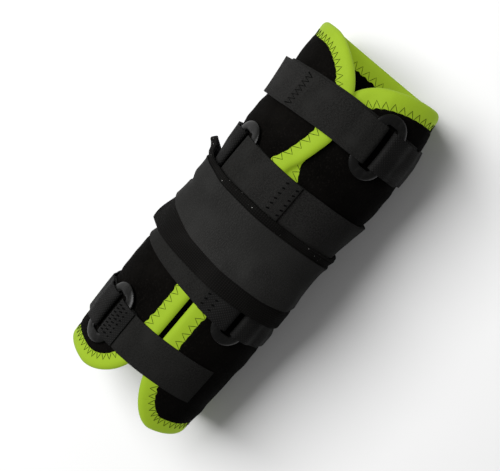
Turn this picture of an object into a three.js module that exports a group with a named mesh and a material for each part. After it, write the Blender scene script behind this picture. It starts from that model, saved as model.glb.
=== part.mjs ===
import * as THREE from "three";

// Wrap-round elbow brace lying on its back. Millimetres, +Z up.
// X runs along the arm, +X towards the upper arm, with 0 at the elbow.
// The slit faces +Z, its right side is -Y, and the brace rests on z = 0.

// Tube, as its outer face
const TUBE_RADIUS = 54;
const REST_HALF_WIDTH = 0.24 * TUBE_RADIUS;
const REST_CORNER_RADIUS = 0.7 * TUBE_RADIUS;
const UPPER_REACH = 145;
const LOWER_REACH = 137.5;
const LOWER_SLANT = 3;
const SLEEVE_WALL = 5;
const END_NARROWING = 3.1;
const END_LENGTH = 50;
const END_EASE = 1.4;
const UPPER_END_SWAY = 3.5;

// Binding round the whole edge of the sleeve
const BINDING_WIDTH = 12.3;
const BINDING_THICKNESS = 1.2;
const BINDING_CLEARANCE = 0.3;
const BINDING_ROUNDING = 1.3 * BINDING_THICKNESS;

// Where the left flap lies over the right one
const FLAP_CLEARANCE = 0.6;
const FLAP_LIFT = (SLEEVE_WALL + FLAP_CLEARANCE) / 2;
const FLAP_PULL = 100;
const LEFT_LIFT_FROM = 46;
const LEFT_LIFT_TO = 22;
const RIGHT_SINK_FROM = 16;
const RIGHT_SINK_TO = 1;

// Straps and the rings that they turn in
const STRAP_WIDTH = 28;
const STRAP_THICKNESS = 1.2;
const LAYER_GAP = 0.4;
const LAP_LENGTH = 8;
const RING_SLOT_PLAY = 2;
const RING_SLOT_WIDTH = 10.4;
const RING_FRAME = 7.2;
const RING_THICKNESS = 2.6;
const RING_EDGE = 0.35 * RING_THICKNESS;
const SLOT_CORNER = 2.5;
const RING_LOOP_LEG = 18;
const STEP_DOWN = 11;
const SEWN_END_ANGLE = 119;

// Wide pad over the elbow and the elastic band over the pad
const PAD_UPPER_EDGE = 0.181 * UPPER_REACH;
const PAD_LOWER_EDGE = 0.237 * LOWER_REACH;
const PAD_THICKNESS = 3.4;
const PAD_LEFT_ANGLE = 93;
const PAD_RIGHT_ANGLE = 118;
const PAD_RAMP = 11;
const PAD_MARGIN = 3;
const PAD_CORNER = 16;
const PAD_CORNER_DRAW = 0.7 * PAD_CORNER;
const PAD_FLARE_FROM = 50;
const PAD_STEP_TO = 60;
const PAD_STEP_FROM = 45;
const PAD_END_FLARE = 11;
const PAD_UPPER_CURL = 9;
const PAD_LOWER_CURL = 7.5;
const BAND_WIDTH = 40;
const BAND_THICKNESS = 1.3;
const BAND_LEFT_ANGLE = 122;
const BAND_RIGHT_ANGLE = 113;

// Slit edges down the brace. "at" is a share of the reach to each rim, "left" and "right" are the places
// of the two flaps' edges in binding widths right of the centre line, and "lift" is a share of the flap lift.
const SLIT = [
  { at: -1.0, left: -0.72, right: 0.25, lift: 0 },
  { at: -0.8, left: -0.6, right: 0.13, lift: 0 },
  { at: -0.58, left: -0.39, right: -0.08, lift: 0 },
  { at: -0.33, left: -0.39, right: -0.08, lift: 0 },
  { at: -0.1, left: -0.45, right: -0.12, lift: 0 },
  { at: 0.17, left: -0.69, right: -0.36, lift: 1 },
  { at: 0.38, left: -0.78, right: -1.08, lift: 1 },
  { at: 0.46, left: -0.46, right: -1.46, lift: 1 },
  { at: 0.54, left: -0.2, right: -1.42, lift: 1 },
  { at: 0.62, left: -0.02, right: -1.34, lift: 1 },
  { at: 0.76, left: -0.38, right: -1.0, lift: 1 },
  { at: 1.0, left: -0.38, right: -0.97, lift: 1 },
];

// Rounded corners of the sleeve: "across" is a share of the tube radius, "along" of the reach to that rim.
const CORNERS = {
  upperLeft: { across: 0.97, along: 0.255 },
  upperRight: { across: 1.11, along: 0.241 },
  lowerLeft: { across: 0.68, along: 0.233 },
  lowerRight: { across: 0.66, along: 0.378 },
};

// Straps from the upper arm down. "side" is 1 with the ring right of the slit. Angles are degrees round the
// tube from the slit, positive to the right. A "looped" strap has a webbing loop sewn closed round its ring,
// and the others run from their sewn end through the ring and back. "course" gives the middle line of the
// strap, with "place" as a share of the reach, and "curl" how far the free end stands off.
const STRAPS = [
  {
    name: "upper_arm", side: 1, ring: 27, lap: -34, end: -93, curl: 5, looped: false,
    course: [
      { angle: -120, place: 0.655 },
      { angle: -62, place: 0.676 },
      { angle: -30, place: 0.699 },
      { angle: 0, place: 0.716 },
      { angle: 27, place: 0.718 },
      { angle: 120, place: 0.71 },
    ],
  },
  {
    name: "above_elbow", side: -1, ring: -51, lap: -3, end: 112, curl: 0, looped: false,
    course: [
      { angle: -120, place: 0.29 },
      { angle: -51, place: 0.292 },
      { angle: -20, place: 0.283 },
      { angle: 0, place: 0.281 },
      { angle: 25, place: 0.284 },
      { angle: 120, place: 0.284 },
    ],
  },
  {
    name: "below_elbow", side: 1, ring: 30, lap: 11, end: -112, curl: 0, looped: true,
    course: [
      { angle: -120, place: -0.2 },
      { angle: -58, place: -0.214 },
      { angle: -28, place: -0.229 },
      { angle: 0, place: -0.249 },
      { angle: 30, place: -0.267 },
      { angle: 120, place: -0.283 },
    ],
  },
  {
    name: "forearm", side: -1, ring: -44, lap: -34, end: 46, curl: 0, looped: true,
    course: [
      { angle: -120, place: -0.684 },
      { angle: -44, place: -0.684 },
      { angle: -15, place: -0.691 },
      { angle: 15, place: -0.684 },
      { angle: 44, place: -0.687 },
      { angle: 120, place: -0.69 },
    ],
  },
];

// Middle line and width of the elastic band: "place" in pad half widths towards the upper arm, "width" as a
// share of the band's full width.
const BAND_COURSE = [
  { angle: -122, place: 0.4, width: 0.9 },
  { angle: -75, place: 0.41, width: 0.93 },
  { angle: -62, place: 0.37, width: 0.95 },
  { angle: -47, place: 0.3, width: 0.97 },
  { angle: -27, place: 0.19, width: 1 },
  { angle: 0, place: 0.145, width: 1 },
  { angle: 27, place: 0.14, width: 1 },
  { angle: 46, place: 0.165, width: 0.95 },
  { angle: 60, place: 0.21, width: 0.86 },
  { angle: 113, place: 0.23, width: 0.84 },
];

// Share of a free end over which it curls up
const CURL_SHARE = 0.3;

// Mesh fineness
const STEP = 8.2;
const RIM_STEP = 1.1 * STEP;
const ELBOW_STEP = 0.85 * STEP;
const SLIT_STOPS = [-0.45, -0.28, -0.1, 0.04, 0.17, 0.29, 0.38, 0.45, 0.52, 0.6, 0.68];
const STRAP_EDGES = [-0.5, 0.5];
const NARROWED_STRAP_STOPS = [-0.5, -0.18, 0.18, 0.5];
const BAND_STOPS = [0, 0.25, 0.5, 0.75, 1];
const PAD_BORDER_STOP = 0.45;
const PAD_BORDER_DRAW = 0.3;
const CORNER_STEPS = 4;
const FOLD_STEPS = 6;
const RING_STEPS = 8;

const COLOURS = { cloth: 0x0c0b0b, lime: 0xa5cd2d, strap: 0x262625, plastic: 0x141413 };

const { smoothstep, lerp, degToRad } = THREE.MathUtils;

// Section of the tube: a round back to the main arc, two wider corners and a flat that it rests on
const ARC_ANGLE = Math.PI - Math.asin(REST_HALF_WIDTH / (TUBE_RADIUS - REST_CORNER_RADIUS));
const CORNER_CENTRE_UP = (TUBE_RADIUS - REST_CORNER_RADIUS) * Math.cos(ARC_ANGLE);
const AXIS_HEIGHT = REST_CORNER_RADIUS - CORNER_CENTRE_UP;
const ARC_LENGTH = TUBE_RADIUS * ARC_ANGLE;
const HALF_GIRTH = ARC_LENGTH + REST_CORNER_RADIUS * (Math.PI - ARC_ANGLE) + REST_HALF_WIDTH;
const GIRTH = 2 * HALF_GIRTH;

const aroundAt = (angle) => TUBE_RADIUS * degToRad(angle);
const reachOf = (share) => (share < 0 ? LOWER_REACH : UPPER_REACH);
const shareOf = (x) => x / reachOf(x);

// Smooth line through the rows of a table, without overshoot
function follow(rows, key, column, at) {
  const last = rows.length - 1;
  if (at <= rows[0][key]) return rows[0][column];
  if (at >= rows[last][key]) return rows[last][column];
  const i = rows.findIndex((row, n) => n < last && at < rows[n + 1][key]);
  const slope = (n) => (rows[n + 1][column] - rows[n][column]) / (rows[n + 1][key] - rows[n][key]);
  const tangent = (n) => {
    if (n <= 0 || n >= last) return 0;
    const before = slope(n - 1);
    const after = slope(n);
    return before * after <= 0 ? 0 : (2 * before * after) / (before + after);
  };
  const span = rows[i + 1][key] - rows[i][key];
  const t = (at - rows[i][key]) / span;
  const a = rows[i][column];
  const b = rows[i + 1][column];
  return (
    a * (1 + 2 * t) * (1 - t) ** 2 +
    b * t * t * (3 - 2 * t) +
    span * (tangent(i) * t * (1 - t) ** 2 - tangent(i + 1) * t * t * (1 - t))
  );
}

const leftEdge = (x) => BINDING_WIDTH * follow(SLIT, "at", "left", shareOf(x));
const rightEdge = (x) => BINDING_WIDTH * follow(SLIT, "at", "right", shareOf(x));
const liftAt = (x) => FLAP_LIFT * follow(SLIT, "at", "lift", shareOf(x));

// Share of the way into the narrowed end at x
function endShare(x) {
  const start = Math.abs(reachOf(x)) - END_LENGTH;
  return smoothstep(Math.abs(x), start, start + END_EASE * END_LENGTH);
}

// Point at x, at arc length "around" from the slit's centre line, "out" off the tube's outer face
function onTube(x, around, out) {
  const turn = around - GIRTH * Math.round(around / GIRTH);
  const side = turn < 0 ? -1 : 1;
  const s = Math.abs(turn);
  const cornerEnd = HALF_GIRTH - REST_HALF_WIDTH;
  let across = HALF_GIRTH - s;
  let up = -AXIS_HEIGHT - out;
  if (s <= ARC_LENGTH) {
    const angle = s / TUBE_RADIUS;
    across = (TUBE_RADIUS + out) * Math.sin(angle);
    up = (TUBE_RADIUS + out) * Math.cos(angle);
  } else if (s <= cornerEnd) {
    const angle = ARC_ANGLE + (s - ARC_LENGTH) / REST_CORNER_RADIUS;
    across = REST_HALF_WIDTH + (REST_CORNER_RADIUS + out) * Math.sin(angle);
    up = CORNER_CENTRE_UP + (REST_CORNER_RADIUS + out) * Math.cos(angle);
  }
  const inward = endShare(x);
  const size = 1 - (END_NARROWING / TUBE_RADIUS) * inward;
  const sway = x > 0 ? UPPER_END_SWAY * inward : 0;
  return new THREE.Vector3(x, sway - side * across * size, (up + AXIS_HEIGHT) * size);
}

// How far the left flap rides up on the right one
const leftRise = (x, around) => liftAt(x) * smoothstep(around, -LEFT_LIFT_FROM, -LEFT_LIFT_TO);

// How far what crosses the slit is held up: it lies on the left flap and bridges down to the right one
function bridge(x, around) {
  const edge = leftEdge(x);
  return around < edge
    ? leftRise(x, around)
    : liftAt(x) * (1 - smoothstep(around, edge, RIGHT_SINK_FROM));
}

const overSlit = (x, around, out) => onTube(x, around, out + bridge(x, around));

// Closed solid from a list of corner points and triangles
function solid(points, triangles) {
  const geometry = new THREE.BufferGeometry();
  geometry.setAttribute("position", new THREE.Float32BufferAttribute(points.flatMap((p) => p.toArray()), 3));
  geometry.setIndex(triangles);
  geometry.computeVertexNormals();
  return geometry;
}

// Slab between two grids of points: rows run along it, and "over" lies outside "under"
function slab(under, over) {
  const rows = under.length;
  const columns = under[0].length;
  const points = [...under.flat(), ...over.flat()];
  const lower = (i, j) => i * columns + j;
  const upper = (i, j) => rows * columns + i * columns + j;
  const triangles = [];
  const quad = (a, b, c, d) => triangles.push(a, b, c, a, c, d);
  for (let i = 0; i < rows - 1; i++) {
    for (let j = 0; j < columns - 1; j++) {
      quad(upper(i, j), upper(i + 1, j), upper(i + 1, j + 1), upper(i, j + 1));
      quad(lower(i, j), lower(i, j + 1), lower(i + 1, j + 1), lower(i + 1, j));
    }
    quad(lower(i, 0), lower(i + 1, 0), upper(i + 1, 0), upper(i, 0));
    quad(lower(i, columns - 1), upper(i, columns - 1), upper(i + 1, columns - 1), lower(i + 1, columns - 1));
  }
  for (let j = 0; j < columns - 1; j++) {
    quad(lower(0, j), upper(0, j), upper(0, j + 1), lower(0, j + 1));
    quad(lower(rows - 1, j), lower(rows - 1, j + 1), upper(rows - 1, j + 1), upper(rows - 1, j));
  }
  return solid(points, triangles);
}

// Closed ring of equal sections, each a closed outline. Faces on the sides listed in "turned" are split along
// their other diagonal.
function loop(sections, turned = []) {
  const count = sections[0].length;
  const triangles = [];
  sections.forEach((section, i) => {
    const next = (i + 1) % sections.length;
    for (let j = 0; j < count; j++) {
      const k = (j + 1) % count;
      const [a, b, c, d] = [i * count + j, next * count + j, next * count + k, i * count + k];
      if (turned.includes(j)) triangles.push(a, b, d, b, c, d);
      else triangles.push(a, b, c, a, c, d);
    }
  });
  return solid(sections.flat(), triangles);
}

// Turns a mesh's faces round when they point inwards
function facingOut(geometry) {
  const p = geometry.getAttribute("position");
  const index = geometry.getIndex().array;
  const [a, b, c] = [new THREE.Vector3(), new THREE.Vector3(), new THREE.Vector3()];
  let volume = 0;
  for (let i = 0; i < index.length; i += 3) {
    a.fromBufferAttribute(p, index[i]);
    b.fromBufferAttribute(p, index[i + 1]);
    c.fromBufferAttribute(p, index[i + 2]);
    volume += a.dot(b.cross(c));
  }
  if (volume < 0) {
    for (let i = 0; i < index.length; i += 3) [index[i + 1], index[i + 2]] = [index[i + 2], index[i + 1]];
    geometry.computeVertexNormals();
  }
  return geometry;
}

// Evenly divided stretch from a to b, with b left out
function stretch(a, b, steps) {
  return Array.from({ length: steps }, (_, i) => lerp(a, b, i / steps));
}

const stepsFor = (length, step = STEP) => Math.max(1, Math.round(Math.abs(length) / step));

// Outline of the sheet laid flat, starting at the middle of the lower right corner and going along the right
// edge to the upper arm, over to the left flap and back. Each point has its place and its inward direction.
function sheetOutline() {
  const size = (name, reach) => ({
    across: CORNERS[name].across * TUBE_RADIUS,
    along: CORNERS[name].along * reach,
  });
  const corner = {
    lowerRight: { ...size("lowerRight", LOWER_REACH), x: -LOWER_REACH, w: 0, sx: 1, sw: 1 },
    upperRight: { ...size("upperRight", UPPER_REACH), x: UPPER_REACH, w: 0, sx: -1, sw: 1 },
    upperLeft: { ...size("upperLeft", UPPER_REACH), x: UPPER_REACH, w: GIRTH, sx: -1, sw: -1 },
    lowerLeft: { ...size("lowerLeft", LOWER_REACH), x: -LOWER_REACH, w: GIRTH, sx: 1, sw: -1 },
  };
  // turn 0 is the end on the slit edge, 90 degrees the end on the rim
  const arcPoint = (c, turn) => {
    const normal = new THREE.Vector2(c.sx * Math.sin(turn) * c.across, c.sw * Math.cos(turn) * c.along).normalize();
    return {
      x: c.x + c.sx * c.along * (1 - Math.sin(turn)),
      w: c.w + c.sw * c.across * (1 - Math.cos(turn)),
      nx: normal.x,
      nw: normal.y,
    };
  };
  const arc = (name, from, to) =>
    stretch(degToRad(from), degToRad(to), CORNER_STEPS).map((turn) => arcPoint(corner[name], turn));
  const { lowerRight, upperRight, upperLeft, lowerLeft } = corner;
  const alongSlit = (w, nw, low, high) => [
    { x: -LOWER_REACH + low.along, w, nx: 0, nw },
    ...SLIT_STOPS.map((share) => ({ x: share * reachOf(share), w, nx: 0, nw })),
    { x: UPPER_REACH - high.along, w, nx: 0, nw },
  ];
  // The rims share their stops round the back, so that the flat underneath stays flat
  const flatStart = HALF_GIRTH - REST_HALF_WIDTH;
  const flatEnd = HALF_GIRTH + REST_HALF_WIDTH;
  const sideSteps = stepsFor(flatStart - upperRight.across, RIM_STEP);
  const flatSteps = 2;
  const alongRim = (x, nx, right, left) => [
    ...stretch(right.across, flatStart, sideSteps),
    ...stretch(flatStart, flatEnd, flatSteps),
    ...stretch(flatEnd, GIRTH - left.across, sideSteps),
    GIRTH - left.across,
  ].map((w) => ({ x, w, nx, nw: 0 }));
  const right = [
    ...arc("lowerRight", 45, 0),
    ...alongSlit(0, 1, lowerRight, upperRight),
    ...arc("upperRight", 0, 45).slice(1),
  ];
  const top = [
    ...arc("upperRight", 45, 90),
    ...alongRim(UPPER_REACH, -1, upperRight, upperLeft),
    ...arc("upperLeft", 90, 45).slice(1),
  ];
  const left = [
    ...arc("upperLeft", 45, 0),
    ...alongSlit(GIRTH, -1, lowerLeft, upperLeft).reverse(),
    ...arc("lowerLeft", 0, 45).slice(1),
  ];
  const bottom = [
    ...arc("lowerLeft", 45, 90),
    ...alongRim(-LOWER_REACH, 1, lowerRight, lowerLeft).reverse(),
    ...arc("lowerRight", 90, 45).slice(1),
  ];
  return { right, top, left, bottom };
}

// Point of the sheet wrapped round the arm: x and w are its place laid flat, "out" is off its outer face
function onSheet(x, w, out) {
  const nearRight = 1 - smoothstep(w, 0, FLAP_PULL);
  const nearLeft = smoothstep(w, GIRTH - FLAP_PULL, GIRTH);
  const around = w + rightEdge(x) * nearRight + leftEdge(x) * nearLeft;
  const rise = leftRise(x, around - GIRTH);
  const sink = liftAt(x) * (1 - smoothstep(around, RIGHT_SINK_TO, RIGHT_SINK_FROM));
  const slant = x < 0 ? (LOWER_SLANT / LOWER_REACH) * Math.cos((Math.PI * w) / GIRTH) : 0;
  return onTube(x * (1 + slant), around, out + rise - sink);
}

// Padded sheet of the sleeve, thinner along its edge, where the binding wraps it
function sleeve() {
  const sides = sheetOutline();
  const outline = [...sides.right, ...sides.top, ...sides.left, ...sides.bottom];
  const inset = (p, distance) => ({ x: p.x + p.nx * distance, w: p.w + p.nw * distance });
  const pinch = BINDING_THICKNESS + BINDING_CLEARANCE;
  const bodyEdge = BINDING_WIDTH + 2 * BINDING_CLEARANCE + BINDING_THICKNESS;
  const rows = sides.right.length;
  const columns = sides.top.length;
  const ring = outline.map((p) => inset(p, bodyEdge));
  const onRight = (i) => ring[i];
  const onTop = (j) => ring[rows + j];
  const onLeft = (i) => ring[(rows + columns + rows - i) % ring.length];
  const onBottom = (j) => ring[(ring.length - j) % ring.length];
  const fade = Math.ceil(columns / 3);
  const place = (i, j) => {
    const nearRight = Math.max(0, 1 - j / fade);
    const nearLeft = Math.max(0, 1 - (columns - j) / fade);
    const v = (onRight(i).x - onRight(0).x) / (onTop(0).x - onRight(0).x);
    const mid = (k) => lerp(onBottom(j)[k], onTop(j)[k], v);
    const fromRight = (k) => onRight(i)[k] - lerp(onBottom(0)[k], onTop(0)[k], v);
    const fromLeft = (k) => onLeft(i)[k] - lerp(onBottom(columns)[k], onTop(columns)[k], v);
    const blend = (k) => mid(k) + nearRight * fromRight(k) + nearLeft * fromLeft(k);
    return { x: blend("x"), w: blend("w") };
  };
  const points = [];
  const triangles = [];
  const add = (flat, out) => points.push(onSheet(flat.x, flat.w, out)) - 1;
  // The body's grid: its border is a ring of the outline
  const ringAt = (i, j) => {
    if (j === 0) return i;
    if (i === rows) return rows + j;
    if (j === columns) return rows + columns + (rows - i);
    return (ring.length - j) % ring.length;
  };
  const faces = [0, -SLEEVE_WALL].map((out) => {
    const border = ring.map((p) => add(p, out));
    const grid = Array.from({ length: rows + 1 }, (_, i) =>
      Array.from({ length: columns + 1 }, (_, j) => {
        const edge = i === 0 || i === rows || j === 0 || j === columns;
        return edge ? border[ringAt(i, j) % ring.length] : add(place(i, j), out);
      }),
    );
    return { border, grid };
  });
  for (let i = 0; i < rows; i++) {
    for (let j = 0; j < columns; j++) {
      faces.forEach(({ grid }, face) => {
        const [a, b, c, d] = [grid[i][j], grid[i + 1][j], grid[i + 1][j + 1], grid[i][j + 1]];
        if (face === 0) triangles.push(a, b, c, a, c, d);
        else triangles.push(a, c, b, a, d, c);
      });
    }
  }
  // Border loops from the outer face round the thinned edge to the inner face
  const loops = [
    faces[0].border,
    ...[
      [bodyEdge - BINDING_THICKNESS, -pinch],
      [pinch, -pinch],
      [pinch, pinch - SLEEVE_WALL],
      [bodyEdge - BINDING_THICKNESS, pinch - SLEEVE_WALL],
    ].map(([distance, out]) => outline.map((p) => add(inset(p, distance), out))),
    faces[1].border,
  ];
  for (let n = 0; n < loops.length - 1; n++) {
    for (let i = 0; i < outline.length; i++) {
      const k = (i + 1) % outline.length;
      const [a, b, c, d] = [loops[n][i], loops[n][k], loops[n + 1][k], loops[n + 1][i]];
      triangles.push(a, c, b, a, d, c);
    }
  }
  return solid(points, triangles);
}

// Folded strip of cloth over the whole edge of the sleeve
function binding() {
  const sides = sheetOutline();
  const outline = [...sides.right, ...sides.top, ...sides.left, ...sides.bottom];
  const t = BINDING_THICKNESS;
  const half = SLEEVE_WALL / 2;
  const upper = [
    [BINDING_WIDTH, half - t],
    [BINDING_WIDTH, half],
    [BINDING_ROUNDING, half],
    [0, half - BINDING_ROUNDING],
  ];
  const section = [
    ...upper,
    ...upper.map(([distance, out]) => [distance, -out]).reverse(),
    [t, t - half],
    [t, half - t],
  ];
  // The two faces inside the fold are split as the sleeve's faces next to them are
  const insideFold = [section.length - 3, section.length - 1];
  return loop(
    outline.map((p) =>
      section.map(([distance, out]) => onSheet(p.x + p.nx * distance, p.w + p.nw * distance, out - half)),
    ),
    insideFold,
  );
}

// Heights of the middles of the layers off the sleeve
const layerMiddle = (layer) => LAYER_GAP * layer + STRAP_THICKNESS * (layer - 0.5);
const RING_UNDERSIDE = layerMiddle(1) + STRAP_THICKNESS / 2 + LAYER_GAP;
const OVER_BAR = RING_UNDERSIDE + RING_THICKNESS + LAYER_GAP + STRAP_THICKNESS / 2;
const BAR_MIDDLE = RING_UNDERSIDE + RING_THICKNESS / 2;
const RING_LENGTH = STRAP_WIDTH + 2 * RING_SLOT_PLAY + 2 * RING_FRAME;
const RING_WIDTH = RING_SLOT_WIDTH + 2 * RING_FRAME;

// Line of a strap in the section, as points [around, out]
class Course {
  constructor(around, out) {
    this.points = [[around, out]];
  }
  get end() {
    return this.points[this.points.length - 1];
  }
  // Straight run at the same height
  run(around) {
    const [from, out] = this.end;
    const steps = stepsFor(around - from);
    for (let i = 1; i <= steps; i++) this.points.push([lerp(from, around, i / steps), out]);
    return this;
  }
  // Soft step to another height
  step(around, out) {
    const [from, height] = this.end;
    const steps = 3;
    for (let i = 1; i <= steps; i++) {
      const t = i / steps;
      this.points.push([lerp(from, around, t), lerp(height, out, smoothstep(t, 0, 1))]);
    }
    return this;
  }
  // Half turn round the edge of a ring's bar at "around", on the side "way"
  fold(around, way, out) {
    const low = this.end[1];
    const radius = (out - low) / 2;
    for (let i = 1; i <= FOLD_STEPS; i++) {
      const turn = (Math.PI * i) / FOLD_STEPS;
      this.points.push([around + way * radius * Math.sin(turn), low + radius * (1 - Math.cos(turn))]);
    }
    return this;
  }
}

// Stops across a strap: only its edges on the even tube, and more where the tube narrows
function stopsAcross(middle) {
  const narrows = Math.abs(middle) + STRAP_WIDTH / 2 > Math.abs(reachOf(middle)) - END_LENGTH;
  return narrows ? NARROWED_STRAP_STOPS : STRAP_EDGES;
}

// Band of webbing along a course, with its middle line from "middleOf"
function band(course, middleOf, outOf = () => 0) {
  const { points } = course;
  const columns = stopsAcross(middleOf(0));
  const under = [];
  const over = [];
  points.forEach(([around, out], i) => {
    const before = points[Math.max(0, i - 1)];
    const after = points[Math.min(points.length - 1, i + 1)];
    const along = new THREE.Vector2(after[0] - before[0], after[1] - before[1]).normalize();
    const side = (sign) =>
      columns.map((share) => {
        const u = around - sign * along.y * (STRAP_THICKNESS / 2);
        const v = out + sign * along.x * (STRAP_THICKNESS / 2);
        const x = middleOf(around) + share * STRAP_WIDTH;
        return overSlit(x, u, v + outOf(i / (points.length - 1), share));
      });
    under.push(side(-1));
    over.push(side(1));
  });
  return facingOut(slab(under, over));
}

const middleOfStrap = (strap) => (around) => {
  const angle = around / aroundAt(1);
  const place = follow(strap.course, "angle", "place", angle);
  return place * reachOf(place);
};

// What runs through the ring: from its sewn end round to the ring, through the slot and back over itself to
// the lap. On a looped strap the sewn end is under the lap.
function throughRing(strap) {
  const { side } = strap;
  const ring = aroundAt(strap.ring);
  const slotEdge = ring - side * (RING_SLOT_WIDTH / 2);
  const barEdge = ring - side * (RING_WIDTH / 2);
  const lapStart = aroundAt(strap.lap);
  const lapEnd = lapStart - side * LAP_LENGTH;
  const beforeLap = lapStart + side * LAP_LENGTH;
  const stepEnd = barEdge - side * STEP_DOWN;
  const sewnEnd = strap.looped ? lapEnd : -side * aroundAt(SEWN_END_ANGLE);
  const course = new Course(sewnEnd, layerMiddle(1)).run(slotEdge).fold(slotEdge, side, OVER_BAR).run(barEdge);
  if (side * (stepEnd - beforeLap) > 0) {
    course.step(stepEnd, layerMiddle(2)).run(beforeLap).step(lapStart, layerMiddle(3)).run(lapEnd);
  } else {
    course.step(lapEnd, layerMiddle(3));
  }
  return band(course, middleOfStrap(strap));
}

// What goes on from the lap to the free end: a hook tab, or on a looped strap the strap itself, which comes
// down to the sleeve
function freeEnd(strap) {
  const { side } = strap;
  const barEdge = aroundAt(strap.ring) - side * (RING_WIDTH / 2);
  const start = aroundAt(strap.lap);
  const end = aroundAt(strap.end);
  const clear = barEdge - side * LAYER_GAP;
  const from = side > 0 ? Math.min(start, clear) : Math.max(start, clear);
  const course = new Course(from, layerMiddle(2));
  if (strap.looped) {
    const lapEnd = start - side * LAP_LENGTH;
    course.run(lapEnd).step(lapEnd - side * STEP_DOWN, layerMiddle(1));
  }
  course.run(end);
  const free = (t, share) => strap.curl * Math.max(0, (t - 1 + CURL_SHARE) / CURL_SHARE) ** 2 * (0.5 + share);
  return band(course, middleOfStrap(strap), free);
}

// Loop of webbing that holds the ring: short leg under the bar, long leg over it and on to its sewn end
function ringLoop(strap) {
  const { side } = strap;
  const ring = aroundAt(strap.ring);
  const slotEdge = ring + side * (RING_SLOT_WIDTH / 2);
  const barEdge = ring + side * (RING_WIDTH / 2);
  const legEnd = barEdge + side * RING_LOOP_LEG;
  const course = new Course(legEnd, layerMiddle(1))
    .run(slotEdge)
    .fold(slotEdge, -side, OVER_BAR)
    .run(barEdge)
    .step(barEdge + side * STEP_DOWN, layerMiddle(2))
    .run(legEnd + side * LAYER_GAP * 2)
    .step(legEnd + side * STEP_DOWN, layerMiddle(1))
    .run(side * aroundAt(SEWN_END_ANGLE));
  return band(course, middleOfStrap(strap));
}

// Moulded ring: half-round ends outside, and a long slot with small corners inside
function ring(strap) {
  const centre = aroundAt(strap.ring);
  const middle = middleOfStrap(strap);
  const tilt = Math.atan((middle(centre + 1) - middle(centre - 1)) / 2);
  const radius = RING_WIDTH / 2;
  const thick = RING_THICKNESS / 2;
  const softShare = RING_EDGE / RING_FRAME;
  // Share of the way from the slot to the outer edge, and height off the ring's middle plane
  const section = [
    [0, RING_EDGE - thick],
    [softShare, -thick],
    [1 - softShare, -thick],
    [1, RING_EDGE - thick],
    [1, thick - RING_EDGE],
    [1 - softShare, thick],
    [softShare, thick],
    [0, thick - RING_EDGE],
  ];
  const slotCorner = { along: RING_LENGTH / 2 - RING_FRAME - SLOT_CORNER, across: RING_SLOT_WIDTH / 2 - SLOT_CORNER };
  const sections = [1, -1].flatMap((end) =>
    [0, ...stretch(0, Math.PI, RING_STEPS), Math.PI].map((turn, i) => {
      const quarter = Math.sign(RING_STEPS / 2 + 1 - i);
      // The first stop is the middle of the bar
      const onEnd = i === 0 ? 0 : 1;
      const outer = [onEnd * (RING_LENGTH / 2 - radius) + radius * Math.sin(turn), radius * Math.cos(turn)];
      const inner = [
        onEnd * slotCorner.along + SLOT_CORNER * Math.sin(turn),
        quarter * slotCorner.across + SLOT_CORNER * Math.cos(turn),
      ];
      return section.map(([share, out]) => {
        const a = end * lerp(inner[0], outer[0], share);
        const b = end * lerp(inner[1], outer[1], share);
        const x = middle(centre) + a * Math.cos(tilt) + b * Math.sin(tilt);
        const around = centre - a * Math.sin(tilt) + b * Math.cos(tilt);
        return overSlit(x, around, BAR_MIDDLE + out);
      });
    }),
  );
  return facingOut(loop(sections));
}

// Soft hill of height 1 from a to b, with ramps outside it
const hill = (v, a, b, ramp) => smoothstep(v, a - ramp, a) * (1 - smoothstep(v, b, b + ramp));

// Height of what lies under the pad, off the sleeve
function padFloor(x, around) {
  const above = STRAPS[1];
  const below = STRAPS[2];
  const stack = OVER_BAR + STRAP_THICKNESS / 2 + LAYER_GAP;
  const layersTop = (layers) => layerMiddle(layers) + STRAP_THICKNESS / 2 + LAYER_GAP;
  const half = STRAP_WIDTH / 2 + PAD_MARGIN;
  const onBelow = hill(x, -2 * LOWER_REACH, middleOfStrap(below)(around) + half, PAD_RAMP);
  const overRing = (strap) => {
    const centre = aroundAt(strap.ring);
    const middle = middleOfStrap(strap)(centre);
    return (
      hill(x, middle - RING_LENGTH / 2 - PAD_MARGIN, middle + RING_LENGTH / 2 + PAD_MARGIN, PAD_RAMP) *
      hill(around, centre - RING_WIDTH / 2 - PAD_MARGIN, centre + RING_WIDTH / 2 + PAD_MARGIN, PAD_RAMP)
    );
  };
  const lapStart = aroundAt(below.lap);
  const lapEnd = lapStart - LAP_LENGTH;
  const onLap = hill(around, lapEnd - PAD_MARGIN, lapStart + LAP_LENGTH, PAD_RAMP);
  const onLoop = smoothstep(around, lapEnd - STEP_DOWN - PAD_RAMP, lapEnd - STEP_DOWN);
  const onAbove = hill(x, middleOfStrap(above)(around) - half, 2 * UPPER_REACH, PAD_RAMP);
  return Math.max(
    LAYER_GAP,
    lerp(layersTop(1), layersTop(2), onLoop) * onBelow,
    stack * onBelow * onLap,
    stack * overRing(below),
    stack * overRing(above),
    layersTop(2) * onAbove * (1 - smoothstep(around, -aroundAt(PAD_STEP_TO), -aroundAt(PAD_STEP_FROM))),
  );
}

// Share of the way into the pad's loose left end
const padEndShare = (around) => smoothstep(-around, aroundAt(PAD_FLARE_FROM), aroundAt(PAD_LEFT_ANGLE));

const padMiddle = (PAD_UPPER_EDGE - PAD_LOWER_EDGE) / 2;
const padHalf = (PAD_UPPER_EDGE + PAD_LOWER_EDGE) / 2;

// Edges of the band and the pad at a place round the tube, as x
function elbowEdges(around) {
  const angle = around / aroundAt(1);
  const middle = padMiddle + padHalf * follow(BAND_COURSE, "angle", "place", angle);
  const half = (BAND_WIDTH / 2) * follow(BAND_COURSE, "angle", "width", angle);
  return {
    padLow: -PAD_LOWER_EDGE,
    bandLow: middle - half,
    bandHigh: middle + half,
    padHigh: PAD_UPPER_EDGE + PAD_END_FLARE * padEndShare(around),
  };
}

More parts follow.
